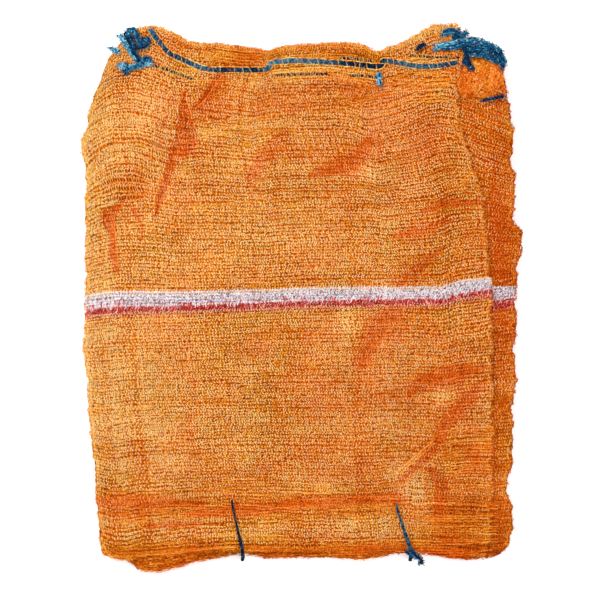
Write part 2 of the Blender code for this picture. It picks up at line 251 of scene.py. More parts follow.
# Cords of the sacks below, which show as dashes through the hem.
DASHES = (
    ((-178, 273), (-160, 268), (-142, 261), (-128, 256)), ((44, 281), (62, 280), (82, 277)),
    ((56, 260), (72, 260), (88, 258)), ((126, 284), (150, 282), (184, 281)),
    ((-30, 261), (0, 262), (30, 262)),
)

# The ties: each one's node, where it enters the bundle and where it goes over the edge, its half-width and
# tone, and how much darker its stitches are; then the second one's knotted tail.
TIE_RADIUS, CLEARANCE = 1.2, 0.6
TIE_FIRST_BEND, TIE_LAST_BEND, TIE_ASIDE, TIE_BOW, TIE_RETURN = 9.0, 12.0, 0.08, 2.0, 9.0
TIES = (
    ("tie_left", (-82, -236), (-70, -307), 1.6, 0.32, 0.15),
    ("tie_right", (111, -241), (127, -307), 1.9, 0.54, 0.0),
)
TIE_TAIL = ((128, -297, 3.4), (133, -302, 3.0), (139, -306, 1.6), (140, -312, 0.4))
TIE_KNOT = ((122, -296, 1.0), (126, -299, 2.4), (131, -300, 2.4))

# Shares of the width that the left and right strips of the lower sacks' knit cover. The second sack shows
# more.
LEFT_STRIP, RIGHT_STRIP, SECOND_SACK_STRIP = 0.05, 0.08, 0.16

# Where the red meets the white of the woven band, in the photograph's pixels.
BAND_PIXELS = (
    (80, 311), (87, 310), (100, 308), (118, 306.5), (175, 306), (232, 304), (290, 301.3), (357, 299.8),
    (414, 298.8), (443, 299), (450, 297), (456, 294), (470, 292), (490, 289.5), (520, 287),
)
LOWER_BAND_PIXELS = ((80, 310), (300, 306), (430, 303), (492, 300.5), (515, 297.5), (530, 296))

# Soft folds of the top sack, in pixels: middle, half-length, half-width, angle in degrees, and how far
# they rise.
FOLDS = (
    ((170, 128), 30, 6.0, 104, 0.7), ((128, 112), 26, 13, 20, 0.5), ((120, 150), 22, 12, 90, 0.6),
    ((235, 133), 55, 2.0, 3, -0.6), ((240, 105), 60, 2.0, 8, -0.5), ((365, 174), 18, 6.0, 5, 0.8),
    ((413, 184), 16, 5.0, 5, 0.8), ((450, 130), 5.0, 5.0, 0, 1.0), ((457, 140), 30, 3.0, 92, -0.7),
    ((395, 215), 30, 5.0, 10, 0.5), ((345, 100), 50, 2.2, 8, -0.8), ((395, 85), 60, 2.5, 3, -0.7),
    ((440, 400), 12, 10, 30, 0.7), ((465, 432), 26, 7.0, 15, 0.6), ((414, 496), 14, 24, 12, 0.8),
    ((212, 496), 18, 9.0, 0, 0.5), ((235, 536), 40, 9.0, 5, 0.6), ((350, 528), 45, 9.0, 2, 0.6),
    ((140, 535), 30, 6.0, 8, 0.6), ((150, 470), 50, 9.0, 4, 0.5), ((250, 440), 60, 12, 8, 0.4),
    ((135, 420), 25, 20, 60, 0.5), ((205, 58), 12, 7.0, 0, 0.9), ((345, 320), 14, 9.0, 90, 0.7),
    ((300, 280), 60, 8, 10, -0.3), ((350, 260), 60, 10, 15, 0.3), ((440, 55), 20, 6.0, 20, 0.6),
)
# Broad painted light and shade of the upper face, in the same order, with the change of tone last.
SHADES = (
    ((140, 300), 170, 75, 90, 0.06), ((250, 228), 62, 28, 0, 0.06), ((135, 125), 50, 34, 60, 0.06),
    ((455, 400), 170, 60, 90, -0.05), ((470, 215), 70, 45, 90, -0.03), ((300, 552), 240, 9, 0, -0.22),
    ((310, 52), 150, 10, 0, -0.08), ((365, 90), 55, 14, 5, -0.07), ((200, 58), 60, 11, 20, -0.04),
    ((345, 322), 16, 12, 90, 0.12), ((440, 395), 12, 9, 90, 0.16), ((125, 400), 60, 20, 80, 0.06),
    ((355, 525), 32, 9, 0, 0.08), ((250, 530), 40, 10, 5, 0.06), ((390, 230), 40, 12, 10, 0.05),
    ((414, 496), 14, 22, 12, 0.16), ((372, 172), 16, 8, 0, 0.06), ((412, 188), 18, 7, 0, 0.12),
    ((480, 530), 40, 14, 0, -0.10), ((246, 60), 14, 8, 0, -0.16), ((212, 60), 16, 12, 0, -0.14),
    ((360, 60), 30, 11, 0, -0.26), ((213, 90), 18, 12, 60, -0.10), ((180, 550), 90, 9, 5, -0.06),
    ((440, 225), 26, 9, 20, 0.08), ((482, 155), 26, 14, 0, 0.09), ((300, 508), 215, 16, 0, -0.06),
    ((300, 60), 60, 10, 0, -0.06), ((480, 455), 16, 24, 0, -0.04),
    ((290, 520), 30, 10, 0, -0.06), ((450, 520), 20, 14, 0, -0.06), ((484, 135), 16, 22, 0, 0.06),
)
# Pressed folds, deep orange and darker as painted shade: the crisp edge's route in pixels, which the fold
# lies to the left of as the route runs on the page from above, its width at each point, and its strength.
# The strongest ones have pleats.
PANELS = (
    (((184, 91), (181, 103), (179, 118), (177, 130), (176, 139)), (2, 8, 14, 21, 22), 1.0),
    (((176, 139), (170, 152), (165, 170), (160, 188), (156, 205), (154, 217)), (11, 8, 8, 7, 5, 2), 1.0),
    (((119, 268), (117, 250), (115.5, 235), (115, 219), (125, 202)), (6, 9, 6, 14, 3), 0.95),
    (((133, 212), (139, 225), (141.5, 236), (140, 243)), (4, 5, 3, 1), 0.7),
    (((225, 66), (212, 82), (202, 97), (193, 108)), (5, 9, 9, 4), 0.85),
    (((275, 135), (258, 150), (250, 168)), (14, 20, 12), 0.4),
    (((368, 136), (350, 155), (330, 162), (312, 172)), (8, 16, 15, 7), 0.7),
    (((425, 213), (445, 207), (480, 205)), (5, 7, 5), 0.75),
    (((396, 238), (425, 234), (446, 224)), (6, 9, 5), 0.65),
    (((405, 284), (425, 268), (442, 253)), (8, 12, 6), 0.5),
    (((368, 362), (388, 330), (402, 308)), (14, 22, 12), 0.5),
    (((478, 364), (445, 366), (418, 376), (410, 388)), (8, 22, 20, 8), 0.55),
    (((478, 383), (458, 398), (445, 415), (436, 432)), (10, 18, 16, 6), 0.5),
    (((440, 434), (422, 456), (400, 478)), (6, 9, 6), 0.6),
    (((430, 474), (437, 488), (435, 514)), (6, 12, 6), 0.6),
    (((300, 507), (350, 505), (397, 503)), (9, 12, 10), 0.6),
    (((97, 507), (130, 506), (200, 507)), (11, 12, 7), 0.55),
    (((190, 517), (240, 518), (305, 508)), (7, 12, 8), 0.55),
    (((150, 529), (175, 528), (200, 526)), (6, 7, 5), 0.6),
    (((105, 556), (150, 552), (230, 549), (300, 554)), (5, 6, 5, 4), 0.3),
    (((300, 554), (400, 551), (455, 556), (490, 552)), (4, 5, 6, 5), 0.4),
)
PLEATED_FROM = 0.8
# A pressed fold's edges: the blur of the strongest one and what a weak one has more, and where it ends as
# shares of its width. The raised ridge beside a fold with pleats: its width, how it drops to the side, and
# the narrowest fold that has one. Then the ridge's height and the fold's depth.
FOLD_BLUR, FOLD_SOFTNESS, FOLD_NEAR, FOLD_FAR = 0.6, 6.0, 0.6, 1.15
RIDGE_WIDTH, RIDGE_SIDE, RIDGE_FROM = 5.0, (0.8, -0.4), 4.0
RIDGE_HEIGHT, FOLD_DEPTH = 0.8, 0.5
# Painted light and shade of the folds: how much lighter raised places are, and how much darker and how much
# deeper orange pressed folds are.
RAISED_TONE, FOLD_TONE, WARM_FOLD = 0.12, 0.05, 1.5
# How much deeper the orange is at the right and the bottom edge, and from where to where it rises to that.
WARM_RIGHT, WARM_RIGHT_FROM = 0.45, (214.0, 228.0)
WARM_LOW, WARM_LOW_FROM = 0.2, (-294.0, -300.0)
# How deep the orange is all over the back wall, the pleats and the inner sheets, and the sheets' tone. The
# depth and the sheets' low tone are painted shade behind the front wall and in pressed folds.
BACK_WARMTH, PLEAT_WARMTH, SHEET_WARMTH, SHEET_TONE = 0.8, 0.3, 1.0, 0.20
# Where the orange is deeper, in pixels: middle, half-length, half-width, angle and strength.
WARMTHS = (
    ((440, 420), 150, 65, 90, 0.28), ((450, 215), 110, 60, 90, 0.25), ((375, 120), 75, 45, 0, 0.22),
    ((320, 100), 110, 12, 4, 0.22), ((340, 84), 60, 11, 0, 0.30), ((213, 84), 16, 11, 60, 0.45),
    ((250, 60), 20, 12, 0, 0.40), ((345, 157), 38, 13, 30, 0.35), ((140, 515), 50, 16, 0, 0.25),
    ((172, 98), 22, 18, 0, 0.30), ((212, 110), 22, 14, 0, 0.45), ((498, 240), 70, 16, 90, 0.15),
    ((330, 472), 40, 10, 0, 0.25), ((250, 350), 26, 10, 0, 0.35), ((300, 42), 150, 12, 0, 0.35),
    ((478, 82), 30, 22, 0, 0.40), ((300, 508), 210, 13, 0, 0.25), ((480, 458), 16, 24, 0, 0.30),
    ((190, 410), 50, 8, 90, 0.30), ((300, 455), 70, 12, 20, 0.30), ((378, 345), 50, 18, 60, 0.25),
    ((270, 160), 32, 10, 45, 0.40), ((290, 375), 60, 12, 70, 0.22), ((360, 400), 50, 20, 0, 0.30),
    ((170, 468), 30, 10, 0, 0.20), ((121, 186), 22, 20, 0, 0.55), ((166, 141), 14, 22, -14, 0.40),
    ((414, 496), 14, 22, 12, -0.35), ((112, 165), 75, 26, 90, -0.30), ((250, 230), 60, 26, 0, -0.30),
    ((185, 255), 50, 20, 0, -0.25), ((130, 370), 50, 26, 90, -0.30), ((350, 322), 12, 22, 0, -0.40),
    ((452, 322), 16, 12, 0, -0.60), ((440, 395), 14, 9, 0, -0.35), ((355, 525), 32, 9, 0, -0.40),
    ((250, 530), 40, 11, 5, -0.35), ((225, 430), 50, 26, 0, -0.12), ((470, 440), 24, 5, 0, -0.35),
    ((230, 155), 30, 10, 37, -0.35), ((230, 320), 36, 12, 0, -0.20), ((335, 540), 70, 14, 0, 0.25),
    ((504, 460), 75, 12, 90, -0.35), ((412, 140), 40, 34, 0, 0.15), ((455, 500), 60, 30, 90, 0.15),
)
# Long tapes of the pleats and lines: the step of their points, the pleats' distance and tone, low as painted
# shade, and the lines' shifts and tones, a painted highlight on the chains and painted shade between them,
# the range of their lengths, and the share of the way that they cover.
LONG_STEP, PLEAT_PITCH, PLEAT_TONE = 2.2, 1.9, 0.30
LINE_TONES = ((0.0, 0.12), (0.5 * LINE_PITCH, -0.13))
LINE_LENGTHS, LINE_COVER = (25.0, 90.0), 0.6
# Places where the chains lie close together and show as long lines, in pixels: route, width and mean tone.
COMBS = (
    (((97, 503), (150, 502), (215, 502), (300, 508)), 24, 0.36),
    (((105, 524), (170, 518), (240, 519), (300, 514)), 16, 0.40),
    (((112, 552), (160, 550), (230, 543), (300, 545)), 16, 0.42),
    (((300, 507), (350, 505), (398, 503)), 26, 0.34),
    (((300, 549), (380, 547), (450, 549), (492, 546)), 14, 0.32),
    (((440, 462), (465, 458), (494, 458)), 60, 0.38),
    (((420, 520), (455, 520), (498, 520)), 44, 0.34), (((200, 488), (260, 485), (330, 488)), 12, 0.38),
    (((212, 53), (240, 57), (262, 58)), 12, 0.50), (((270, 57), (320, 52), (374, 55)), 11, 0.46),
    (((186, 76), (230, 76), (262, 76)), 14, 0.44), (((266, 76), (320, 72), (376, 78)), 15, 0.48),
    (((384, 62), (420, 60), (458, 55)), 10, 0.50), (((384, 80), (420, 82), (456, 80)), 16, 0.50),
    (((190, 129), (225, 124), (270, 120)), 24, 0.38), (((330, 106), (385, 95), (450, 90)), 20, 0.40),
    (((186, 212), (240, 206), (300, 206)), 8, 0.42), (((446, 192), (460, 184), (475, 172)), 16, 0.42),
    (((396, 482), (415, 466), (438, 446)), 14, 0.48), (((320, 550), (400, 547), (480, 548)), 7, 0.22),
)
# Places where the mesh is pulled open, in pixels: middle, half-length, half-width and angle. Then the shares
# of those sizes where the opening begins and where it is full.
OPENING_RIM = (1.2, 0.8)
OPENINGS = (
    ((121, 186), 20, 19, 0), ((164, 141), 13, 22, -14), ((146, 173), 14, 8, 40),
    ((418, 494), 8, 16, 15), ((440, 88), 14, 5, 5), ((355, 305), 14, 6, 0),
)
# Places where the chains are pulled apart (positive) or pressed together (negative), with the strength
# last.
STRETCHES = (
    ((165, 145), 24, 30, 12, 0.22), ((122, 190), 20, 26, 5, 0.24), ((414, 496), 20, 24, 12, 0.22),
    ((140, 501), 50, 9.0, 2, -0.45), ((275, 509), 60, 9.0, 5, -0.45), ((345, 506), 60, 8.0, 2, -0.4),
    ((170, 524), 40, 6.0, 3, -0.4), ((300, 556), 240, 10, 0, -0.5), ((240, 128), 60, 10, 5, -0.4),
    ((380, 92), 80, 9.0, 5, -0.4), ((434, 207), 34, 7.0, 4, -0.4),
)
# Frizzy heaps of loose mesh at the corners: middle in pixels, half-width, half-depth, height, tapes, tone,
# the range of the tapes' directions in degrees, and of their lengths. Then the spread of their bend and
# their half-width.
HEAPS = (
    ((479, 79), 29.0, 23.0, 4.5, 760, 0.40, (0, 360), (4.0, 12.0)),
    ((211, 56), 13.0, 8.0, 1.6, 160, 0.44, (0, 360), (3.5, 8.0)),
    ((446, 35), 15.0, 8.0, 2.2, 200, 0.50, (0, 360), (3.5, 8.0)),
    ((130, 53), 12.0, 16.0, 1.5, 180, 0.55, (0, 360), (3.5, 8.0)),
    ((438, 29), 9.0, 3.5, 1.5, 60, 0.52, (60, 150), (6.0, 11.0)),
    ((453, 29), 8.0, 4.0, 1.5, 60, 0.50, (40, 120), (6.0, 12.0)),
    ((418, 38), 8.0, 3.0, 1.5, 30, 0.50, (90, 160), (5.0, 9.0)),
)
HEAP_BEND, HEAP_TAPE = 0.7, 0.5
# Where the loops' painted highlights are weaker, in pixels: middle, half-length, half-width, angle and how
# much weaker.
CALM = (
    ((300, 506), 210, 13, 0, 0.35), ((467, 452), 30, 32, 0, 0.35), ((460, 525), 48, 26, 0, 0.30),
    ((290, 552), 220, 9, 0, 0.40), ((345, 156), 36, 12, 30, 0.3), ((255, 150), 24, 14, 50, 0.2),
    ((447, 372), 30, 10, 15, 0.3), ((444, 415), 30, 12, 55, 0.25), ((378, 340), 34, 12, 60, 0.2),
    ((440, 207), 36, 7, 5, 0.3), ((420, 232), 30, 8, 12, 0.25), ((425, 268), 26, 8, 35, 0.2),
)
# Where the edges are frayed most, in pixels: middle, half-length, half-width, angle and strength.
FRAYED = (((440, 28), 28, 16, 15, 1.7), ((500, 60), 14, 30, 0, 1.0), ((125, 55), 26, 30, 0, 1.0))


def rise(low, high, value):
    """0 before low, 1 past high and a smooth rise between. Low may be above high."""
    share = np.clip((value - low) / (high - low), 0.0, 1.0)
    return share * share * (3.0 - 2.0 * share)


def underside(y):
    """The height of the bundle's lower face."""
    return LIFT * rise(LIFTED_FROM, LIFTED_TO, y)


def upper_level(y):
    """The height of the bundle's upper face, without its waves."""
    return SACKS * SACK_PITCH * (1.0 - PRESSED_SHARE * rise(PRESSED_FROM, PRESSED_TO, y))


def level(y, share):
    """The height at a share of the bundle's thickness."""
    return underside(y) + share * (upper_level(y) - underside(y))


def waves(x, y):
    """How far the top sack's upper face rises over its level."""
    total = np.zeros_like(x)
    for height, across, length, phase in WAVES:
        total = total + height * np.sin(2.0 * np.pi * (x / across + y / length) + phase)
    return total


def from_pixel(pixel):
    """A pixel of the photograph as millimetres of the bundle."""
    return (pixel[0] - ZERO_PIXEL[0]) * MM_PER_PIXEL, (ZERO_PIXEL[1] - pixel[1]) * MM_PER_PIXEL


def fold_frame(x, y, fold):
    """Distances along and across a fold, counted in its half-length and half-width."""
    (middle, half_length, half_width, angle) = fold[:4]
    mx, my = from_pixel(middle)
    turn = math.radians(angle)
    ahead = (x - mx) * math.cos(turn) + (y - my) * math.sin(turn)
    aside = -(x - mx) * math.sin(turn) + (y - my) * math.cos(turn)
    return ahead / (half_length * MM_PER_PIXEL), aside / (half_width * MM_PER_PIXEL), turn


def soft_sum(x, y, places):
    """The sum of soft places, each with its strength last."""
    total = np.zeros_like(x)
    for place in places:
        ahead, aside, _ = fold_frame(x, y, place)
        total = total + place[4] * np.exp(-(aside**2) - ahead**4)
    return total


def beside(x, y, route):
    """How far points lie to the left of a route in pixels, and where along it, from 0 to 1."""
    points = np.array([from_pixel(pixel) for pixel in route])
    nearest, side, share = np.full(x.shape, 1e9), np.zeros(x.shape), np.zeros(x.shape)
    for index, (start, end) in enumerate(zip(points, points[1:])):
        step = end - start
        from_start_x, from_start_y = x - start[0], y - start[1]
        t = np.clip((from_start_x * step[0] + from_start_y * step[1]) / (step @ step), 0.0, 1.0)
        gap = np.hypot(from_start_x - t * step[0], from_start_y - t * step[1])
        closer = gap < nearest
        nearest = np.where(closer, gap, nearest)
        side = np.where(closer, np.sign(step[0] * from_start_y - step[1] * from_start_x), side)
        share = np.where(closer, (index + t) / (len(points) - 1), share)
    return nearest * side, share


def panel_width(widths, share):
    """A pressed fold's width in millimetres at a share of its route."""
    return np.interp(share, np.linspace(0.0, 1.0, len(widths)), widths) * MM_PER_PIXEL


def pressed(x, y):
    """How strongly points are pressed into a fold, and how much they are part of a ridge beside one."""
    inside, edge = np.zeros_like(x), np.zeros_like(x)
    for route, widths, strength in PANELS:
        aside, share = beside(x, y, route)
        width = panel_width(widths, share)
        blur = FOLD_BLUR + FOLD_SOFTNESS * (1.0 - strength)
        far_side = rise(FOLD_NEAR * width - blur, FOLD_FAR * width + blur, aside)
        inside = np.maximum(inside, strength * (rise(-blur, blur, aside) * (1.0 - far_side)))
        if strength > PLEATED_FROM:
            ridge = np.exp(-((aside / RIDGE_WIDTH) ** 2)) * rise(*RIDGE_SIDE, aside) * (width > RIDGE_FROM)
            edge = np.maximum(edge, ridge)
    return inside, edge


def opened(x, y):
    """How strongly each point lies where the mesh is pulled open."""
    total = np.zeros_like(x)
    for place in OPENINGS:
        ahead, aside, _ = fold_frame(x, y, place)
        total = np.maximum(total, rise(*OPENING_RIM, np.hypot(ahead, aside)))
    return total


def relief(x, y):
    """How far the folds lift the top sack."""
    inside, edge = pressed(x, y)
    return soft_sum(x, y, FOLDS) + RIDGE_HEIGHT * edge - FOLD_DEPTH * inside


def stretched(x, y):
    """The same points, moved where the knit is pulled apart or pressed together."""
    new_x, new_y = x.copy(), y.copy()
    for place in STRETCHES:
        ahead, aside, turn = fold_frame(x, y, place)
        shift = place[4] * aside * np.exp(-(aside**2) - ahead**4) * place[2] * MM_PER_PIXEL
        new_x = new_x - shift * math.sin(turn)
        new_y = new_y + shift * math.cos(turn)
    return new_x, new_y


def dense_line(points, count=600):
    """Points of a smooth line through the given ones, evenly spaced in its own share."""
    points = np.array(points, float)
    marks = distances(points) / length_of(points)
    share = np.linspace(0.0, 1.0, count)
    index = np.clip(np.searchsorted(marks, share, side="right") - 1, 0, len(points) - 2)
    t = ((share - marks[index]) / (marks[index + 1] - marks[index]))[:, None]
    before = points[np.maximum(index - 1, 0)]
    start, end = points[index], points[index + 1]
    after = points[np.minimum(index + 2, len(points) - 1)]
    straight = 2.0 * before - 5.0 * start + 4.0 * end - after
    turn = 3.0 * start - before - 3.0 * end + after
    return start + 0.5 * ((end - before) * t + straight * t**2 + turn * t**3)


def rippled(line, strength, phase):
    """The same line with small ripples, which die away at its ends."""
    distance = distances(line)
    ahead = unit(np.gradient(line, axis=0))
    swing = sum(h * np.sin(2.0 * np.pi * distance / length + shift + phase) for h, length, shift in RIPPLES)
    swing = swing * strength * rise(0.0, RIPPLE_END, distance)
    swing = swing * rise(0.0, RIPPLE_END, distance[-1] - distance)
    return line + scaled(np.column_stack([ahead[:, 1], -ahead[:, 0]]), swing)


def along(line, marks, values):
    """Points of a line at values of its marks."""
    return np.stack([np.interp(values, marks, line[:, axis]) for axis in range(line.shape[1])], axis=-1)


def at_share(line, share):
    """The point at a share of a dense line."""
    return along(line, np.linspace(0.0, 1.0, len(line)), share)


def grid_quads(index):
    """The quads between the neighbours of a grid of vertex numbers."""
    corners = (index[..., :-1, :-1], index[..., 1:, :-1], index[..., 1:, 1:], index[..., :-1, 1:])
    return np.stack(corners, axis=-1).reshape(-1, 4)


def unit(vectors):
    """Vectors of length 1."""
    return vectors / np.maximum(np.linalg.norm(vectors, axis=-1, keepdims=True), 1e-9)


def scaled(vectors, sizes):
    """Vectors times a number each."""
    return vectors * sizes[..., None]


def turned(first, second, turn, sizes=1.0):
    """Vectors turned from the first directions towards the second ones, at their sizes."""
    return scaled(first, sizes * np.cos(turn)) + scaled(second, sizes * np.sin(turn))


def scatter(size, shape=None):
    """Random numbers around zero."""
    return RNG.normal(0.0, size, shape)


def length_of(line):
    """The length of a line of points."""
    return np.linalg.norm(np.diff(line, axis=0), axis=1).sum()


def distances(line):
    """How far along a line each of its points lies."""
    return np.concatenate([[0.0], np.cumsum(np.linalg.norm(np.diff(line, axis=0), axis=1))])


class Outline:
    """A sheet stretched between four edges."""

    def __init__(self, left, right, bottom, top, phase=0.0):
        self.left, self.right, self.bottom, self.top = (
            rippled(dense_line(edge), strength, phase + RIPPLE_TURN * index)
            for index, (edge, strength) in enumerate(zip((left, right, bottom, top), RIPPLE_SHARES))
        )

    def point(self, s, t):
        """The plan position at shares across and along the sheet."""
        s, t = (np.asarray(share, float)[..., None] for share in np.broadcast_arrays(s, t))
        sides = (1.0 - s) * at_share(self.left, t[..., 0]) + s * at_share(self.right, t[..., 0])
        ends = (1.0 - t) * at_share(self.bottom, s[..., 0]) + t * at_share(self.top, s[..., 0])
        low = (1.0 - s) * self.bottom[0] + s * self.bottom[-1]
        high = (1.0 - s) * self.top[0] + s * self.top[-1]
        return sides + ends - (1.0 - t) * low - t * high


def lower_outline(sack, phase):
    """The outline of one of the lower sacks."""
    low_left, low_right, high_left, high_right = sack["corners"]
    left_in, right_in, top_in = sack["in"]
    left = [low_left] + [(x + left_in, y) for x, y in LEFT_EDGE[1:-1]] + [high_left]
    right = [low_right] + [(x - right_in, y) for x, y in LOWER_RIGHT_EDGE] + [high_right]
    bottom = [low_left] + [(x, y + sack["bottom"][x > 0]) for x, y in LOWER_BOTTOM_EDGE] + [low_right]
    top = [high_left] + [(x, y - top_in) for x, y in TOP_EDGE[2:-1]] + [high_right]
    return Outline(left, right, bottom, top, phase)


class Sack:
    """One sack of the bundle. Number 1 is the top one. Its knit is counted from its coloured band."""

    def __init__(self, number, outline, band_pixels, band_shift=0.0):
        self.number = number
        self.outline = outline
        band = np.array([from_pixel(pixel) for pixel in band_pixels])
        self.columns = np.linspace(0.0, 1.0, 121)
        lengthwise = np.linspace(0.0, 1.0, 401)
        plan = outline.point(self.columns[:, None], lengthwise[None, :])
        gap = plan[..., 1] - np.interp(plan[..., 0], band[:, 0], band[:, 1] + band_shift)
        self.band_share = np.array([np.interp(0.0, row, lengthwise) for row in gap])
        self.up = outline.top[:, 1].mean() - band[:, 1].mean() - band_shift
        self.down = band[:, 1].mean() + band_shift - outline.bottom[:, 1].mean()

    def plan(self, u, h):
        """The plan position at a share across and at millimetres above the band's line."""
        middle = np.interp(u, self.columns, self.band_share)
        up = middle + (1.0 - middle) * np.clip(h / self.up, 0.0, 1.0)
        t = np.where(h >= 0.0, up, middle * (1.0 + np.clip(h / self.down, -1.0, 0.0)))
        place = self.outline.point(u, t)
        x, y = place[..., 0], place[..., 1]
        return stretched(x, y) if self.number == 1 else (x, y)

    def faces(self, x, y):
        """Heights of the lower and the upper wall."""
        low = level(y, (SACKS - self.number) / SACKS) + WALL_INSET
        high = level(y, (SACKS - self.number + 1) / SACKS) - WALL_INSET
        if self.number == 1:
            high = np.maximum(high + waves(x, y) + relief(x, y), low + 2.0 * WALL_INSET)
            low = low + 0.5 * (high - low)
        return low, high

    def surface(self, wall):
        """A function from a share across and a height over the band to points of a wall, 1 for the upper."""

        def point(u, h):
            u, h = np.broadcast_arrays(np.asarray(u, float), np.asarray(h, float))
            x, y = self.plan(u, h)
            low, high = self.faces(x, y)
            rim = np.minimum(np.minimum(u, 1.0 - u) * WIDTH, np.minimum(self.up - h, h + self.down))
            roll = np.clip(rim / ROLLED, 0.0, 1.0)
            roll = np.sqrt(roll * (2.0 - roll))
            middle = 0.5 * (low + high)
            z = middle + ((high if wall else low) - middle) * roll
            return np.stack([x, y, z], axis=-1)

        return point


def frames(surface, u, h):
    """Points of a surface with its directions across, along and outwards."""
    across = unit(surface(u + SHARE_STEP, h) - surface(u - SHARE_STEP, h))
    ahead = unit(surface(u, h + HEIGHT_STEP) - surface(u, h - HEIGHT_STEP))
    return surface(u, h), across, ahead, unit(np.cross(across, ahead))


class Tapes:
    """Collects flat tapes and makes one mesh of them."""

    def __init__(self, warm=0.15):
        self.points, self.faces, self.tones, self.count, self.warm = [], [], [], 0, warm

    def add_mesh(self, points, faces, tones):
        """Adds vertices, quads and a tone for each vertex."""
        self.points.append(points)
        self.faces.append(faces + self.count)
        self.tones.append(tones)
        self.count += len(points)

    def add(self, centres, sides, tones):
        """Tapes along centres [tape, station, 3], with half-width vectors and a tone for each station."""
        tapes, stations = centres.shape[:2]
        points = np.stack([centres - sides, centres + sides], axis=2).reshape(-1, 3)
        index = np.arange(tapes * stations * 2).reshape(tapes, stations, 2)
        self.add_mesh(points, grid_quads(index), np.repeat(tones.reshape(-1), 2))

    def add_one(self, centres, sides, tones):
        """One tape, from what it has at its stations."""
        self.add(centres[None], sides[None], tones[None])

    def add_stations(self, centres, sides, tones):
        """Tapes from a list for each station, with an item for each tape of a row or of a grid."""
        stations = len(centres)
        vectors = (np.stack(items, axis=-2).reshape(-1, stations, 3) for items in (centres, sides))
        self.add(*vectors, np.stack(tones, axis=-1).reshape(-1, stations))

    def make(self, name, material, *nodes):
        """The piece, with its tones as an attribute, which replaces the nodes."""
        parts = (np.concatenate(part) for part in (self.points, self.faces, self.tones))
        mesh_piece(name, material, *parts, self.warm, nodes)


def frame_shift():
    """How far the frame's middle is from the outlines' zero, told by the short cord at the hem's middle."""
    low_corner, high_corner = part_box("cord_middle")
    middle = 0.5 * (np.array(low_corner) + np.array(high_corner)) / MM
    route = np.array(CORD_ENDS["middle"], float)
    return np.array([middle[0] - route[:, 0].mean(), middle[1] - route[:, 1].mean(), 0.0])


SHIFT = frame_shift()


def warm_at(points):
    """How deep the orange is at places of the bundle."""
    x, y = points[..., 0], points[..., 1]
    inside, _ = pressed(x, y)
    total = soft_sum(x, y, WARMTHS) + WARM_FOLD * inside + WARM_RIGHT * rise(*WARM_RIGHT_FROM, x)
    return total + WARM_LOW * rise(*WARM_LOW_FROM, y)


def mesh_piece(name, material, points, faces, tones, warm, nodes=()):
    """A mesh object of quads that rides on the bundle and takes the given material."""
    mesh = bpy.data.meshes.new(name)
    corners = faces.shape[1]
    placed = points + SHIFT
    placed[:, 2] = np.maximum(placed[:, 2], FLOOR_GAP)
    mesh.vertices.add(len(points))
    mesh.vertices.foreach_set("co", (placed * MM).astype(np.float32).ravel())
    mesh.loops.add(faces.size)
    mesh.loops.foreach_set("vertex_index", faces.astype(np.int32).ravel())
    mesh.polygons.add(len(faces))
    mesh.polygons.foreach_set("loop_start", np.arange(0, faces.size, corners, dtype=np.int32))
    mesh.update(calc_edges=True)
    values = {"tone": tones}
    if material.name == ORANGE.name:
        values["warm"] = warm + warm_at(points)
    for kind, value in values.items():
        attribute = mesh.attributes.new(kind, "FLOAT", "POINT")
        attribute.data.foreach_set("value", value.astype(np.float32))
    mesh.materials.append(material)
    piece = bpy.data.objects.new(name, mesh)
    bpy.context.scene.collection.objects.link(piece)
    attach(piece, "root")
    if nodes:
        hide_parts(*nodes)


def tone_at(points):
    """Painted light and shade at places of the top sack: pressed folds are deep orange, raised ones pale."""
    x, y = points[..., 0], points[..., 1]
    inside, _ = pressed(x, y)
    return 0.5 + RAISED_TONE * soft_sum(x, y, FOLDS) + soft_sum(x, y, SHADES) - FOLD_TONE * inside


def wandering(shape, size, every=16):
    """Smooth random offsets along each row."""
    coarse = scatter(size, (shape[0], shape[1] // every + 3))
    marks = np.arange(shape[1]) / every
    return np.stack([np.interp(marks + RNG.uniform(), np.arange(coarse.shape[1]), row) for row in coarse])


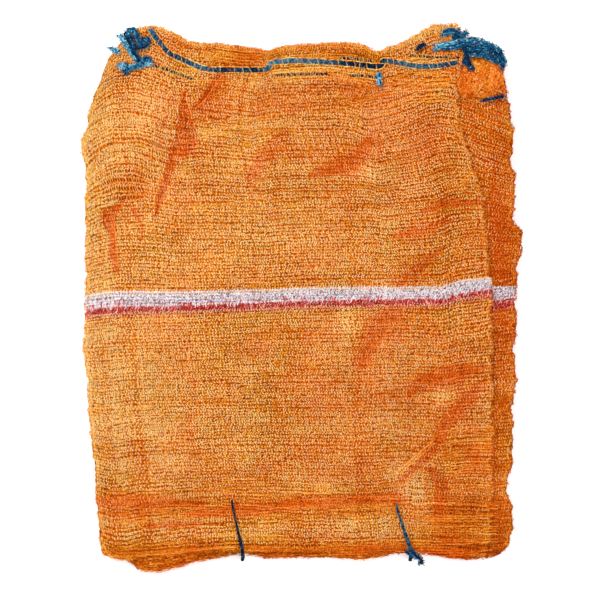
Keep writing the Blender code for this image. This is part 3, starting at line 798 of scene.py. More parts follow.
def knit(tapes, surface, rows, courses, u_range=(0.0, 1.0), tone=0.5, shade=None, rich=True, front=False):
    """Adds chains in the given rows, with their loops, and the inlay tapes between neighbours.

    Three collections of tapes take the chains, the inlays and the loops, or one takes them all. Rich knit
    has the loops and narrow tapes. The front is the wall that opens where the mesh is pulled apart.
    """
    chains, crossings, bright = tapes if isinstance(tapes, tuple) else (tapes,) * 3
    steps = courses * 2
    rows = np.asarray(rows, float)
    shape = (len(rows), steps + 1)
    odd = (np.arange(len(rows)) % 2)[:, None]
    u = np.linspace(*u_range, steps + 1)[None, :] + wandering(shape, SHARE_DRIFT)
    u = u + odd * 0.5 * COURSE_PITCH / WIDTH
    h = rows[:, None] + wandering(shape, ROW_DRIFT, 10)
    gaps = np.zeros(shape)
    if shade is tone_at:
        place = surface(u, h)
        gaps = opened(place[..., 0], place[..., 1])
    if front:
        h = h - OPEN_SHIFT * gaps * odd
    base, across, ahead, out = frames(surface, u, h)
    local = np.full(shape, tone) if shade is None else shade(base) + (tone - 0.5)
    local = local + wandering(shape, TONE_DRIFT, 24) + (OPEN_TONE if front else -OPEN_SHADE) * gaps
    base = base + scaled(ahead, scatter(NODE_SPREAD, shape)) + scaled(across, scatter(NODE_SPREAD, shape))
    eye = (np.arange(steps + 1) % 2)[None, :]
    centres = base + scaled(ahead, CHAIN_OPENING * (eye - 0.5)) + scaled(out, scatter(LIFT_SPREAD, shape))
    tilt = scatter(CHAIN_TILT, shape)
    width = CHAIN_TAPE * (1.0 if rich else PLAIN_CHAIN) * RNG.uniform(*WIDTH_RANGE, shape)
    sides = turned(ahead, out, tilt, width) + scaled(across, CHAIN_SLANT * width)
    chains.add(centres, sides, local + UNDER_TONE + scatter(CHAIN_TONES, shape))
    if rich:
        calm = soft_sum(base[..., 0], base[..., 1], CALM)
        loops(bright, base, across, ahead, out, local, 1.0 - OPEN_CALM * gaps - calm)
    if len(rows) > 1:
        inlays(crossings, base, across, out, local, (gaps * odd * front)[:-1, 0:-2:2], rich)


def loops(tapes, *fields):
    """Adds the small bright loop on every course of the chains, lit by a painted highlight."""
    start, side, ahead, outward, tone, shine = (array[:, 1::2] for array in fields)
    shape = tone.shape
    size = RNG.uniform(*LOOP_SIZES, shape)
    inside, _ = pressed(start[..., 0], start[..., 1])
    turn = scatter(LOOP_TURN, shape) + wandering(shape, LOOP_DRIFT, 20)
    # The painted highlight, weaker in pressed folds, in openings and on darker mesh.
    glow = LOOP_HIGHLIGHT * (1.0 - FOLD_CALM * inside) * shine * np.clip(tone / 0.5, *LOOP_DIM)
    glow = glow * RNG.uniform(*LOOP_SHINES, shape)
    centres, sides, tones = [], [], []
    for aside, onward, lift, share in LOOP:
        x = size * (aside * np.cos(turn) - onward * np.sin(turn))
        y = size * (aside * np.sin(turn) + onward * np.cos(turn))
        centres.append(start + scaled(side, x) + scaled(ahead, y) + outward * lift)
        sides.append(LOOP_TAPE * unit(scaled(side, x - LOOP_HEART) + scaled(ahead, LOOP_OVAL * y)))
        tones.append(tone + glow * share)
    tapes.add_stations(centres, sides, tones)


def inlays(tapes, base, across, out, local, holes, rich):
    """Adds the tapes that cross from chain to chain: crimped ones, or straight thin ones between holes."""
    side, outward, tone = across[:-1, 0:-2:2], out[:-1, 0:-2:2], local[:-1, 0:-2:2]
    shape = tone.shape
    straight = holes > 0.5
    lean = ((np.arange(shape[1]) % 2)[None, :] > 0) & ~straight
    lower = np.where(lean[..., None], base[:-1, 2::2], base[:-1, 0:-2:2])
    upper = np.where(straight[..., None], base[1:, 0:-2:2], base[1:, 1:-1:2])
    width = INLAY_TAPE * (RICH_INLAY if rich else PLAIN_INLAY) * RNG.uniform(*WIDTH_RANGE, shape)
    width = width * np.where(straight, STRAIGHT_WIDTH, 1.0)
    crimp = scatter(INLAY_CRIMP, shape) * np.where(straight, STRAIGHT_CRIMP, 1.0)
    tilt = scatter(INLAY_TILT, shape) * (1.0 - holes)
    own_tone = tone + UNDER_TONE + scatter(INLAY_TONES, shape) + STRAIGHT_TONE * straight
    centres, sides, tones = [], [], []
    for share in (0.0, 0.5, 1.0):
        point = lower * (1.0 - share) + upper * share + scaled(side, crimp * (share == 0.5))
        centres.append(point - outward * (INLAY_SINK * (1.0 - abs(2.0 * share - 1.0))))
        sides.append(turned(side, outward, tilt, width))
        tones.append(own_tone + scatter(STATION_TONES, shape))
    tapes.add_stations(centres, sides, tones)


def edge_lines(sack):
    """The four edges of a sack with their outward directions."""
    edges = sack.outline
    return (edges.left, (-1, 0)), (edges.right, (1, 0)), (edges.bottom, (0, -1)), (edges.top, (0, 1))


def edge_frame(line, outward, share):
    """Points at shares of an edge, with the directions ahead and away from the sack."""
    before, after = np.maximum(share - EDGE_STEP, 0.0), np.minimum(share + EDGE_STEP, 1.0)
    ahead = unit(at_share(line, after) - at_share(line, before))
    outward = np.array(outward, float)
    return at_share(line, share), ahead, unit(outward - scaled(ahead, ahead @ outward))


def selvedge(tapes, sack, tone):
    """Adds the long tapes that close a sack's edges."""
    for line, outward in edge_lines(sack):
        count = int(length_of(line) / SELVEDGE_STEP)
        start, _, away = edge_frame(line, outward, np.linspace(0.0, 1.0, count))
        low, high = sack.faces(start[:, 0], start[:, 1])
        for lane in range(SELVEDGE_LANES):
            inset = 0.2 + 0.85 * lane + scatter(0.35, count)
            bulge = min(1.0, 0.25 + 0.3 * lane)
            height = 0.5 * (low + high) + 0.5 * (high - low) * bulge * (1.0 - 2.0 * (lane % 2))
            centres = np.column_stack([start - scaled(away, inset), height + scatter(0.15, count)])
            tilt = 0.9 - 0.2 * lane + scatter(0.4, count)
            sides = np.column_stack([scaled(away, np.cos(tilt)), np.sin(tilt)]) * SELVEDGE_TAPE
            shade = tone - 0.12 * rise(*RIGHT_SIDE, start[:, 0]) + scatter(0.16, count)
            tapes.add_one(centres, sides, shade)


def fringe(tapes, sack, tone):
    """Adds the small loops of tape that stand out along a sack's edges."""
    for line, outward in edge_lines(sack):
        count = int(length_of(line) / FRINGE_STEP)
        share = (np.arange(count) + RNG.uniform(0.1, 0.9, count)) / count
        start, ahead, away = edge_frame(line, outward, share)
        frayed = 1.0 + soft_sum(start[:, 0], start[:, 1], FRAYED)
        size = RNG.uniform(0.2, 1.0, count) * FRINGE_REACH * frayed
        lean = RNG.uniform(*FRINGE_LEAN, count)
        low, high = sack.faces(start[:, 0], start[:, 1])
        height = low + (high - low) * RNG.uniform(0.05, 0.95, count)
        centres = []
        for turn, out in FRINGE_LOOP:
            place = start + scaled(ahead, lean * turn) + scaled(away, size * out)
            centres.append(np.column_stack([place, height + scatter(0.25, count)]))
        centres = np.stack(centres, axis=1)
        sides = np.zeros_like(centres)
        sides[..., :2] = scaled(away, RNG.uniform(0.3, 0.6, count))[:, None]
        sides[..., 2] = scatter(0.25, sides.shape[:2])
        shade = (tone - 0.2 * rise(*RIGHT_SIDE, start[:, 0]))[:, None]
        tapes.add(centres, sides, shade + scatter(0.18, sides.shape[:2]))


def new_material(name):
    """A node material with its Principled shader and its output."""
    material = bpy.data.materials.new(name)
    material.use_nodes = True
    nodes = material.node_tree.nodes
    return material, nodes, material.node_tree.links, nodes["Principled BSDF"]


def noise_node(nodes, links, scale, detail, distortion=0.0):
    """A noise texture in the piece's own space."""
    where = nodes.new("ShaderNodeTexCoord")
    noise = nodes.new("ShaderNodeTexNoise")
    noise.inputs["Scale"].default_value = scale
    noise.inputs["Detail"].default_value = detail
    noise.inputs["Distortion"].default_value = distortion
    links.new(where.outputs["Object"], noise.inputs["Vector"])
    return noise


def multiply_add(nodes, links, value, factor, added):
    """A value times a factor, plus a number or another value."""
    node = nodes.new("ShaderNodeMath")
    node.operation = "MULTIPLY_ADD"
    node.inputs[1].default_value = factor
    links.new(value, node.inputs[0])
    if isinstance(added, float):
        node.inputs[2].default_value = added
    else:
        links.new(added, node.inputs[2])
    return node.outputs[0]


def attribute_node(nodes, name):
    """The value of one of the pieces' own attributes."""
    node = nodes.new("ShaderNodeAttribute")
    node.attribute_name = name
    return node.outputs["Fac"]


def colour_ramp(nodes, links, value, stops):
    """Colours at positions of a value."""
    ramp = nodes.new("ShaderNodeValToRGB")
    links.new(value, ramp.inputs["Fac"])
    while len(ramp.color_ramp.elements) < len(stops):
        ramp.color_ramp.elements.new(0.5)
    for element, (position, colour) in zip(ramp.color_ramp.elements, stops):
        element.position = position
        element.color = (*colour, 1.0)
    return ramp.outputs["Color"]


def tape_material(name, stops, crinkle, patches, deep_stops=None):
    """Shiny knitted tape whose colour follows the tone attribute, with crinkles and broad patches.

    With deep stops, the warm attribute blends to those.
    """
    material, nodes, links, shader = new_material(name)
    # The fine crinkle noise varies the tone at random and paints small glints and shade of crinkled tape.
    fine = noise_node(nodes, links, CRINKLE_SCALE, 0.5, 0.6).outputs["Fac"]
    broad = noise_node(nodes, links, PATCH_SCALE, 3.0).outputs["Fac"]
    centred = multiply_add(nodes, links, attribute_node(nodes, "tone"), 1.0, -0.5 * (crinkle + patches))
    tone = multiply_add(nodes, links, broad, patches, multiply_add(nodes, links, fine, crinkle, centred))
    # The ramp's pale top gives the painted highlights, its dark bottom the painted shade in gaps and folds.
    colour = colour_ramp(nodes, links, tone, stops)
    if deep_stops:
        centred = multiply_add(nodes, links, attribute_node(nodes, "warm"), 1.0, -0.5 * WARM_PATCHES)
        drift = noise_node(nodes, links, WARM_SCALE, 2.0).outputs["Fac"]
        blend = nodes.new("ShaderNodeMixRGB")
        links.new(multiply_add(nodes, links, drift, WARM_PATCHES, centred), blend.inputs["Fac"])
        links.new(colour, blend.inputs["Color1"])
        links.new(colour_ramp(nodes, links, tone, deep_stops), blend.inputs["Color2"])
        colour = blend.outputs["Color"]
    links.new(colour, shader.inputs["Base Color"])
    bump = nodes.new("ShaderNodeBump")
    bump.inputs["Strength"].default_value = 0.3
    bump.inputs["Distance"].default_value = 0.0004
    links.new(noise_node(nodes, links, STREAK_SCALE, 3.0).outputs["Fac"], bump.inputs["Height"])
    links.new(bump.outputs["Normal"], shader.inputs["Normal"])
    shader.inputs["Roughness"].default_value = 0.5
    shader.inputs["Specular IOR Level"].default_value = 0.03
    return material


# Noise scales: how many features of each kind there are to a metre.
CRINKLE_SCALE, PATCH_SCALE, STREAK_SCALE, WARM_SCALE = 650.0, 16.0, 900.0, 28.0
# How much the patches change how deep the orange is.
WARM_PATCHES = 1.3
# Ramps of tone: the pale top ends are the painted highlights, the dark low ends the painted shade.
ORANGE = tape_material("orange_tape", (
    (0.0, (0.30, 0.055, 0.001)), (0.22, (0.60, 0.135, 0.002)), (0.42, (0.87, 0.27, 0.012)),
    (0.58, (0.98, 0.43, 0.038)), (0.78, (1.0, 0.61, 0.125)), (1.0, (1.0, 0.80, 0.35))), 0.8, 0.4, (
    (0.0, (0.30, 0.026, 0.001)), (0.22, (0.58, 0.062, 0.001)), (0.42, (0.82, 0.125, 0.003)),
    (0.58, (0.93, 0.205, 0.018)), (0.78, (0.98, 0.33, 0.06)), (1.0, (1.0, 0.54, 0.22))))
WHITE = tape_material("white_tape", (
    (0.0, (0.26, 0.13, 0.14)), (0.28, (0.60, 0.45, 0.49)), (0.50, (0.90, 0.83, 0.87)),
    (0.75, (1.0, 0.96, 0.98))), 0.8, 0.2)
RED = tape_material("red_tape", (
    (0.0, (0.24, 0.010, 0.006)), (0.34, (0.66, 0.040, 0.028)), (0.58, (0.90, 0.17, 0.13)),
    (0.90, (1.0, 0.58, 0.52))), 0.8, 0.2)
BLUE = tape_material("blue_cord", (
    (0.05, (0.003, 0.012, 0.035)), (0.32, (0.006, 0.05, 0.13)), (0.58, (0.014, 0.16, 0.31)),
    (0.82, (0.10, 0.42, 0.56)), (1.0, (0.48, 0.76, 0.82))), 1.0, 0.1)
NAVY = tape_material("navy_tie", (
    (0.05, (0.004, 0.008, 0.022)), (0.40, (0.014, 0.04, 0.10)), (0.70, (0.03, 0.16, 0.30)),
    (0.95, (0.18, 0.42, 0.56))), 1.2, 0.1)


def plain_rows(sack, shift=0.0, pitch=ROW_PITCH):
    """Heights of a sack's chains above its coloured band, and below it."""
    above = np.arange(ORANGE_ABOVE + shift, sack.up, pitch)
    return above, np.arange(ORANGE_BELOW - shift, -sack.down, -pitch)[::-1]


def strokes(tapes, surface, count, u_range, span, length, tone):
    """Adds short slanted tapes that start within a span of heights."""
    u, low = RNG.uniform(*u_range, count), RNG.uniform(*span, count)
    width = RNG.uniform(0.3, 0.55, count)
    centres, sides = [], []
    for share in (0.0, 0.5, 1.0):
        base, across, _, out = frames(surface, u + STROKE_LEAN * share / WIDTH, low + length * share)
        centres.append(base + out * STROKE_LIFT)
        sides.append(scaled(across, width))
    tapes.add_stations(centres, sides, [tone + scatter(0.12, count)] * 3)


def band_shade(points):
    """How light the coloured band is: lighter towards its left end."""
    return 0.5 + 0.1 * rise(-40.0, -150.0, points[..., 0])


def coloured_band(sack, surface, courses, u_range=(0.0, 1.0)):
    """The dense white rows and, below them, the red ones."""
    for rows, tone, colour, material in ((WHITE_ROWS, 0.56, "white", WHITE), (RED_ROWS, 0.32, "red", RED)):
        tapes = Tapes()
        knit(tapes, surface, rows + BAND_UNDER, courses, u_range, tone=tone + UNDER_TONE, rich=False)
        knit(tapes, surface, rows, courses, u_range, tone, band_shade if colour == "white" else None)
        for span, length, stroke_tone, cover in BAND_STROKES[colour]:
            strokes(tapes, surface, round(cover * courses), u_range, span, length, stroke_tone)
        tapes.make(f"sack_{sack.number}_{colour}_band", material)


def long_tape(tapes, sack, lines, span, offset, half_width, tone):
    """Adds one long tape beside a route, between the two shares of it that its span gives."""
    route, left, length = lines
    first, last = span
    marks = np.linspace(first, last, max(3, int((last - first) * length / LONG_STEP)))
    count = len(marks)
    aside = at_share(left, marks)
    place = at_share(route, marks) + scaled(aside, offset(marks) + scatter(0.28, count))
    _, high = sack.faces(place[:, 0], place[:, 1])
    centres = np.column_stack([place, high + RNG.uniform(0.1, 0.6, count)])
    sides = np.column_stack([aside, scatter(0.3, count)]) * half_width
    tapes.add_one(centres, sides, tone + scatter(0.08, count))


def route_lines(pixels):
    """A smooth route through pixels, the directions to its left, and its length."""
    route = dense_line([from_pixel(pixel) for pixel in pixels], 200)
    ahead = unit(np.gradient(route, axis=0))
    return route, np.column_stack([-ahead[:, 1], ahead[:, 0]]), length_of(route)


def pleats(tapes, sack):
    """Adds the long tapes that lie side by side in each pressed fold."""
    for route, widths, strength in PANELS:
        if strength < PLEATED_FROM:
            continue
        lines = route_lines(route)
        lanes = int(max(widths) * MM_PER_PIXEL / PLEAT_PITCH)
        for lane in range(lanes):
            share = (lane + 0.4) / lanes
            span = np.sort(RNG.uniform(0.0, 1.0, 2)) if RNG.uniform() < 0.3 + share else (0.0, 1.0)
            tone = PLEAT_TONE + scatter(0.2)
            long_tape(tapes, sack, lines, span, lambda marks: share * panel_width(widths, marks),
                      RNG.uniform(0.4, 0.65), tone)


def combs(tapes, sack):
    """Adds the long lines of close-lying chains: painted highlights on them and painted shade between."""
    for pixels, width, tone in COMBS:
        lines = route_lines(pixels)
        lanes = round(width * MM_PER_PIXEL / LINE_PITCH)
        for lane in range(lanes):
            aside = (lane / max(1, lanes - 1) - 0.5) * width * MM_PER_PIXEL
            for shift, change in LINE_TONES:
                first = RNG.uniform(0.0, 0.15)
                while first < 0.95:
                    span = first, min(1.0, first + RNG.uniform(*LINE_LENGTHS) / lines[2])
                    if RNG.uniform() < LINE_COVER:
                        long_tape(tapes, sack, lines, span, lambda marks: np.full(len(marks), aside + shift),
                                  RNG.uniform(0.35, 0.6), tone + change + scatter(0.08))
                    first = span[1]


def top_sack():
    """The top sack's two walls, its coloured band and its edges."""
    sack = Sack(1, Outline(LEFT_EDGE, RIGHT_EDGE, BOTTOM_EDGE, TOP_EDGE), BAND_PIXELS)
    front, back = sack.surface(1), sack.surface(0)
    courses = round(TOP_LENGTH / COURSE_PITCH)
    parts = (Tapes(), Tapes(), Tapes())
    for rows in plain_rows(sack):
        knit(parts, front, rows, courses, shade=tone_at, front=True)
    parts[0].make("sack_1_chains", ORANGE, "sack_1")
    parts[1].make("sack_1_inlays", ORANGE)
    parts[2].make("sack_1_loops", ORANGE)
    # The back wall is darker and deeper orange than the front: painted shade behind it.
    tapes = Tapes(BACK_WARMTH)
    for rows in plain_rows(sack, WALL_SHIFT, 2.0 * ROW_PITCH):
        knit(tapes, back, rows, courses // 2 + 3, tone=0.36, shade=tone_at, rich=False)
    tapes.make("sack_1_lower_wall", ORANGE)
    tapes = Tapes()
    selvedge(tapes, sack, 0.45)
    fringe(tapes, sack, 0.5)
    tapes.make("sack_1_edges", ORANGE)
    tapes = Tapes(PLEAT_WARMTH)
    pleats(tapes, sack)
    combs(tapes, sack)
    tapes.make("sack_1_pleats", ORANGE)
    coloured_band(sack, front, courses)
    inner_sheet(sack)


def on_top(route):
    """A route whose heights are counted from the upper face, as points."""
    route = np.array(route, float)
    x, y = route[:, 0], route[:, 1]
    height = route[:, 2] if route.shape[1] > 2 else 0.0
    return np.column_stack([x, y, upper_level(y) + waves(x, y) + height])


def evenly(route, step):
    """Points of a smooth line through the route, about a step apart."""
    line = dense_line(route, 900)
    marks = distances(line)
    count = max(4, round(marks[-1] / step))
    return along(line, marks, np.linspace(0.0, marks[-1], count + 1))


def sides_of(points):
    """Level directions to the side of each point of a route, the directions along it and the ones above."""
    ahead = unit(np.gradient(points, axis=0))
    side = unit(np.cross(ahead, ABOVE))
    return side, ahead, np.cross(side, ahead)


def add_body(tapes, points, half_width, half_height, tones, sides=10):
    """Adds a flat, round-edged tube along the points, with tapering ends."""
    side, _, up = sides_of(points)
    count = len(points)
    turn = 2.0 * np.pi * np.arange(sides) / sides
    taper = np.ones(count)
    taper[[0, -1]] = 0.35
    taper[[1, -2]] = 0.85
    width = half_width * taper * (1.0 + 0.10 * scatter(1.0, count))
    ring = scaled(side[:, None], np.cos(turn) * width[:, None])
    ring = ring + scaled(up[:, None], np.sin(turn) * half_height * taper[:, None])
    index = np.arange(count * sides).reshape(count, sides)
    quads = grid_quads(np.column_stack([index, index[:, 0]]).T)
    values = np.repeat(tones, sides) + scatter(0.07, count * sides)
    tapes.add_mesh((points[:, None] + ring).reshape(-1, 3), quads, values)


def add_stitches(tapes, points, half_width, half_height, tones):
    """Adds the zigzag of knitted loops along a flat cord."""
    side, ahead, up = sides_of(points)
    count = len(points)
    for phase in (1.0, -1.0):
        swing = phase * np.where(np.arange(count) % 2, *STITCH_SWINGS) * half_width
        lift = half_height + 0.18 + scatter(0.08, count)
        centres = points + scaled(side, swing) + scaled(up, lift)
        widths = turned(ahead, up, scatter(0.4, count)) * STITCH_TAPE
        tapes.add_one(centres, widths, tones + STITCH_HIGHLIGHT + scatter(0.24, count))


def add_fray(tapes, points, at_end, count, tone, half_width=2.0):
    """Adds the loose fibres at one end of a cord."""
    side, ahead, _ = sides_of(points)
    place, out, aside = (points[-1], ahead[-1], side[-1]) if at_end else (points[0], -ahead[0], side[0])
    marks = np.linspace(-0.6, 1.0, 7)[:, None]
    taper = np.linspace(1.0, 0.45, 7)[:, None]
    for _ in range(count):
        spread, reach = scatter(0.5), RNG.uniform(2.0, 5.5)
        droop, curl = RNG.uniform(-0.8, 0.6), scatter(1.2)
        line = place + (out + aside * spread) * reach * marks + aside * curl * marks**2
        line = line + aside * scatter(0.5 * half_width) + droop * ABOVE * marks
        width = np.cross(unit(out + aside * spread), ABOVE) * RNG.uniform(0.35, 0.7)
        tapes.add_one(line, width * taper, tone + scatter(0.18, 7))


def strand(tapes, route, half_width, tone, first=0, last=0):
    """Adds one strand: long tapes side by side over a core darkened as painted shade, with fibres at its
    ends.
    """
    half_height = 0.42 * half_width
    points = evenly(on_top(route), CORD_STEP)
    points[:, 2] += half_height + 0.9
    count = len(points)
    side, _, up = sides_of(points)
    add_body(tapes, points, 0.7 * half_width, 0.8 * half_height, np.full(count, tone - 0.3))
    marks = np.arange(count)
    for lane in np.linspace(-0.85, 0.85, max(3, round(half_width * 1.7))):
        sway = lane + 0.22 * np.sin(marks * RNG.uniform(0.3, 0.6) + RNG.uniform(0.0, 6.3))
        sway = np.clip(sway, -1.0, 1.0)
        lift = half_height * np.sqrt(1.05 - sway**2) + 0.25 + scatter(0.12, count)
        centres = points + scaled(side, sway * half_width) + scaled(up, lift)
        tilt = 0.9 * sway + scatter(0.35, count)
        width = RNG.uniform(0.5, 0.85) * np.where((marks == 0) | (marks == count - 1), 0.5, 1.0)
        own_tone = tone + scatter(0.20) + scatter(0.07, count)
        tapes.add_one(centres, turned(side, up, -tilt, width), own_tone)
    tufts(tapes, points, half_width, half_height, tone)
    add_fray(tapes, points, False, first, tone, half_width)
    add_fray(tapes, points, True, last, tone, half_width)


def tufts(tapes, points, half_width, half_height, tone):
    """Adds the short curled fibres that stand out all along a strand."""
    count = int(len(points) * half_width * TUFTS)
    at = RNG.integers(0, len(points), count)
    side, ahead, up = (directions[at] for directions in sides_of(points))
    turn = RNG.uniform(-0.15, 1.15, count) * math.pi
    out = turned(side, up, turn)
    start = points[at] + scaled(side, np.cos(turn) * half_width) + scaled(up, np.sin(turn) * half_height)
    level_way = turned(side, ahead, RNG.uniform(0.0, 2.0 * math.pi, count))
    reach = RNG.uniform(*TUFT_REACH, count)
    aside = np.cross(level_way, up)
    curl = scaled(aside, scatter(0.9, count))
    centres = [start + scaled(level_way, reach * mark) + curl * mark**2 + out * (0.5 - 0.5 * abs(mark))
               for mark in (-0.7, 0.0, 0.7)]
    widths = scaled(aside, RNG.uniform(0.3, 0.55, count))
    tapes.add_stations(centres, [widths] * 3, [tone + 0.05 + scatter(0.22, count)] * 3)


def lacing(tapes, points, every, reach, tone):
    """Adds the tapes of the hem that cross over a cord."""
    side, ahead, _ = sides_of(points)
    at = np.arange(2, len(points) - 2, every)
    at = np.clip(at + RNG.integers(-1, 2, len(at)), 0, len(points) - 1)
    lean = scaled(ahead[at], 1.6 + scatter(1.6, len(at)))
    centres = [points[at] + side[at] * reach * away + lean * reach * away / 4.0 + lift * ABOVE
               for away, lift in LACING]
    widths = [ahead[at] * LACING_TAPE] * len(LACING)
    tapes.add_stations(centres, widths, (tone + scatter(0.18, (len(at), len(LACING)))).T)


def drawstrings():
    """The drawstring in the top hem, the dashes of those below, and the bunches of cord ends."""
    cord, over, hidden = Tapes(), Tapes(), Tapes()
    points = evenly(on_top(HEM_CORD), CORD_STEP)
    points[:, 2] += 1.1 + soft_sum(points[:, 0], points[:, 1], FOLDS)
    count = len(points)
    tones = np.interp(np.linspace(0.0, 1.0, count), *zip(*HEM_CORD_TONES)) + scatter(0.06, count)
    # The body is darker than its stitches: painted shade between them.
    add_body(cord, points, *HEM_CORD_HALVES, tones - 0.14)
    add_stitches(cord, points, *HEM_CORD_HALVES, tones)
    add_fray(cord, points, False, 9, 0.45)
    cord.make("hem_drawstring", BLUE, "hem_cord")
    lacing(over, points[8:], 6, 4.2, 0.6)
    side = sides_of(points)[0]
    for aside in HEM_SIDES:
        edge = points + scaled(side, aside + scatter(0.4, count))
        edge[:, 2] += scatter(0.3, count)
        over.add_one(edge, side * 0.5, 0.66 + scatter(0.3, count))
    for route in DASHES:
        points = evenly(on_top(route), DASH_STEP)
        points[:, 2] += 0.2
        add_body(hidden, points, *DASH_HALVES, np.full(len(points), 0.1))
        lacing(over, points, 2, 2.6, 0.62)
    hidden.make("hem_hidden_cords", NAVY)
    over.make("hem_crossing_tapes", ORANGE)
    for name, route in CORD_ENDS.items():
        tapes = Tapes()
        strand(tapes, route, *CORD_LOOKS[name])
        for owner, extra, half_width, tone in EXTRA_STRANDS:
            if owner == name:
                strand(tapes, extra, half_width, tone, 4, 4)
        tapes.make("strand_" + name, BLUE, "cord_" + name)


def heaps():
    """The frizzy heaps of loose mesh at the bundle's corners: short curved tapes over low domes."""
    tapes = Tapes()
    for middle, half_width, half_depth, height, count, tone, headings, lengths in HEAPS:
        middle = np.array(from_pixel(middle))
        halves = np.array([half_width, half_depth])
        radius, angle = np.sqrt(RNG.uniform(0.0, 1.0, count)), RNG.uniform(0.0, 2.0 * np.pi, count)
        start = scaled(np.column_stack([np.cos(angle), np.sin(angle)]), radius) * halves
        heading = np.radians(RNG.uniform(*headings, count))
        bend = scatter(HEAP_BEND, count)
        length = RNG.uniform(*lengths, count)
        centres, sides = [], []
        for mark in np.linspace(-0.5, 0.5, 5):
            direction = heading + bend * mark * 2.0
            ahead = np.column_stack([np.cos(direction), np.sin(direction)])
            place = start + scaled(ahead, length * mark)
            dome = np.sqrt(np.clip(1.0 - ((place / halves) ** 2).sum(axis=1), 0.0, 1.0))
            base = level(place[:, 1] + middle[1], (SACKS - 1) / SACKS) + 0.5
            z = base + height * dome + RNG.uniform(0.0, 0.6, count)
            centres.append(np.column_stack([place + middle, z]))
            sides.append(np.column_stack([-ahead[:, 1], ahead[:, 0], scatter(0.5, count)]) * HEAP_TAPE)
        shade = tone + scatter(0.2, (count, 1)) + scatter(0.06, (count, 5))
        tapes.add_stations(centres, sides, shade.T)
    tapes.make("corner_heaps", ORANGE)


def tie_route(hole, over):
    """The tie's closed route: over the top, round the edge, back beneath and up through the bundle."""
    (hole_x, hole_y), (over_x, over_y) = hole, over
    near_x, near_y = hole_x + (over_x - hole_x) * TIE_ASIDE, hole_y - TIE_FIRST_BEND
    edge_y = over_y + TIE_LAST_BEND
    proud = TIE_RADIUS + CLEARANCE
    heights = [float(upper_level(y) + waves(x, y)) for x, y in ((near_x, near_y), (over_x, edge_y))]
    top = float(upper_level(hole_y))
    middle = float(0.5 * (upper_level(over_y) + underside(over_y)))
    return [
        (hole_x, hole_y, top - 1.0), (near_x, near_y, heights[0] + proud),
        (0.5 * (near_x + over_x), 0.5 * (near_y + edge_y), top + TIE_BOW + proud),
        (over_x, edge_y, heights[1] + proud), (over_x, over_y, middle + 2.0 * TIE_RADIUS),
        (over_x, over_y, middle - 2.0 * TIE_RADIUS), (over_x, over_y + TIE_RETURN, proud),
        (near_x, near_y, proud), (hole_x, hole_y, LIFT + CLEARANCE),
    ]


def ties():
    """The two ties through the bundle, and the second one's knot and tail."""
    for name, hole, over, half_width, tone, shade in TIES:
        tapes = Tapes()
        points = evenly(tie_route(hole, over), TIE_STEP)
        share = np.linspace(0.0, 1.0, len(points))
        tones = tone + 0.16 * np.sin(share * 90.0) + scatter(0.08, len(points))
        widths = half_width * (0.7 + 0.5 * rise(0.12, 0.4, share))
        add_body(tapes, points, widths, 0.8, tones - 0.1)
        add_stitches(tapes, points, widths, 0.8, tones - shade)
        tapes.make(name + "_cord", NAVY, name)
    tapes = Tapes()
    strand(tapes, TIE_TAIL, 2.8, 0.34)
    strand(tapes, TIE_KNOT, 1.8, 0.12)
    tapes.make("tie_right_knot", NAVY, "tie_right_tail")


def build_camera():
    """Looks straight down, with the photograph's framing at the bundle's upper face."""
    distance = 3000.0
    face = SACKS * SACK_PITCH
    camera = bpy.data.cameras.new("camera")
    camera.sensor_width = 36.0
    camera.lens = camera.sensor_width * (distance - face) / (IMAGE_PIXELS * MM_PER_PIXEL)
    made = bpy.data.objects.new("camera", camera)
    middle = from_pixel((IMAGE_PIXELS / 2, IMAGE_PIXELS / 2))
    made.location = Vector((middle[0] + SHIFT[0], middle[1] + SHIFT[1], distance)) * MM
    bpy.context.scene.collection.objects.link(made)
    bpy.context.scene.camera = made


def area_light(name, place, size, energy, target=(0.0, 0.0, 0.0)):
    """A soft square light that faces the target."""
    light = bpy.data.lights.new(name, "AREA")
    light.size = size
    light.energy = energy
    made = bpy.data.objects.new(name, light)
    made.location = place
    made.rotation_euler = (Vector(target) - Vector(place)).to_track_quat("-Z", "Y").to_euler()
    bpy.context.scene.collection.objects.link(made)


def build_studio():
    """A white floor, an even sky and a soft light from the upper left."""
    bpy.ops.mesh.primitive_plane_add(size=14.0)
    floor = bpy.context.object
    floor.name = "floor"
    material, _, _, shader = new_material("floor_white")
    shader.inputs["Base Color"].default_value = (0.93, 0.93, 0.93, 1.0)
    shader.inputs["Roughness"].default_value = 0.9
    shader.inputs["Emission Color"].default_value = (1.0, 1.0, 1.0, 1.0)
    shader.inputs["Emission Strength"].default_value = 0.45
    floor.data.materials.append(material)
    world = bpy.data.worlds.new("sky")
    world.use_nodes = True
    world.node_tree.nodes["Background"].inputs["Color"].default_value = (1.0, 1.0, 1.0, 1.0)
    world.node_tree.nodes["Background"].inputs["Strength"].default_value = 0.55
    bpy.context.scene.world = world
    area_light("key", (-1.3, 1.1, 1.9), 0.9, 42.0)
    area_light("fill", (1.2, -0.6, 2.2), 1.6, 16.0)
    bpy.context.scene.view_settings.view_transform = "Standard"


def inner_sheet(sack):
    """The close-packed knit between a sack's walls, as one sheet, which the top sack has under both."""
    top = sack.number == 1
    size = 121 if top else 51
    u = np.linspace(0.002, 0.998, size)[None, :]
    h = np.linspace(1.0 - sack.down, sack.up - 1.0, size)[:, None]
    x, y = sack.plan(*np.broadcast_arrays(u, h))
    low, high = sack.faces(x, y)
    points = np.stack([x, y, low - 0.5 if top else 0.5 * (low + high)], axis=-1).reshape(-1, 3)
    # The sheet's low tone is painted shade, darker still where the top sack's mesh is pulled open.
    tones = (SHEET_TONE - 0.1 * opened(x, y) * top).ravel()
    quads = grid_quads(np.arange(size * size).reshape(size, size).T)
    mesh_piece(f"sack_{sack.number}_inner_knit", ORANGE, points, quads, tones, SHEET_WARMTH)


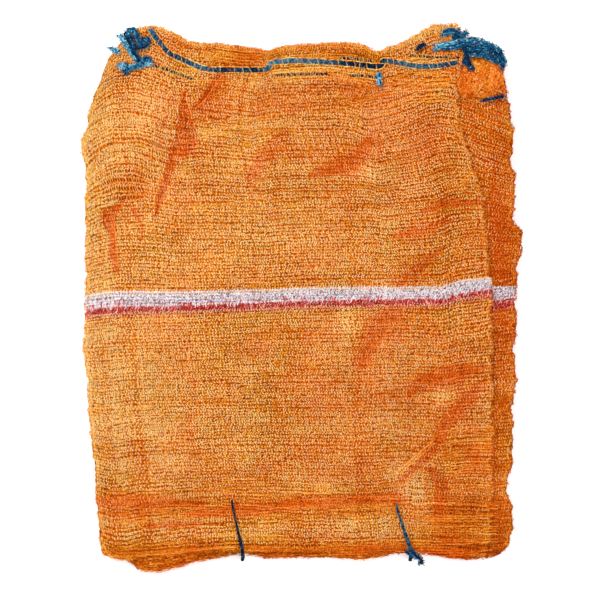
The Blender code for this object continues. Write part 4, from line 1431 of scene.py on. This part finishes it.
def edge_shade(points):
    """How light the lower sacks' mesh is: darker in patches towards their right edge."""
    x, y = points[..., 0], points[..., 1]
    patches = np.sin(y / 17.0) * np.sin(x / 23.0 + y / 41.0)
    return 0.5 - 0.04 * rise(200.0, 245.0, x) + 0.04 * patches + soft_sum(x, y, SHADES)


def strip_of(sack):
    """The share of a lower sack's width that its right strip covers."""
    return SECOND_SACK_STRIP if sack.number == 2 else RIGHT_STRIP


def lower_wall(tapes, sack, wall, shift, tone):
    """A lower sack's wall: the stretches by its edges, or all of it where it is the bundle's underside."""
    surface = sack.surface(wall)
    courses = round(LOWER_LENGTH / COURSE_PITCH)
    above, below = plain_rows(sack, shift, 2.0 * ROW_PITCH)
    if sack.number == SACKS and not wall:
        for rows in (above, below):
            knit(tapes, surface, rows, courses // 2, rich=False, tone=tone)
        return
    inside = (LEFT_STRIP, 1.0 - strip_of(sack))
    for first, last in ((0.0, inside[0]), (inside[1], 1.0)):
        rich = last == 1.0 and sack.number == 2 and wall == 1
        part = round(courses * (last - first))
        for rows in plain_rows(sack, shift, ROW_PITCH if rich else 2.0 * ROW_PITCH):
            knit(tapes, surface, rows, part, (first, last), tone, edge_shade, rich)
    part = round(0.5 * courses * (1.0 - LEFT_STRIP - strip_of(sack)))
    for rows in (above[-3:], below[:4]):
        knit(tapes, surface, rows, part, inside, rich=False, tone=tone)


def lower_sacks():
    """The sacks under the top one: their walls, bands and edges."""
    for number, shape in enumerate(LOWER_SACKS, start=2):
        sack = Sack(number, lower_outline(shape, 2.3 * number), LOWER_BAND_PIXELS, BAND_DROP * (number - 2))
        # Each sack further down is a little darker: painted shade.
        tone = 0.48 - 0.03 * number
        tapes = Tapes()
        lower_wall(tapes, sack, 1, 1.5 * number, tone)
        tapes.make(f"sack_{number}_upper_wall", ORANGE, f"sack_{number}")
        tapes = Tapes()
        lower_wall(tapes, sack, 0, 1.5 * number + WALL_SHIFT, tone)
        selvedge(tapes, sack, tone)
        fringe(tapes, sack, tone)
        tapes.make(f"sack_{number}_lower_wall", ORANGE)
        inner_sheet(sack)
        strip = strip_of(sack)
        coloured_band(sack, sack.surface(1), round(LOWER_LENGTH * strip / COURSE_PITCH), (1.0 - strip, 1.0))


top_sack()
lower_sacks()
drawstrings()
heaps()
ties()
build_camera()
build_studio()
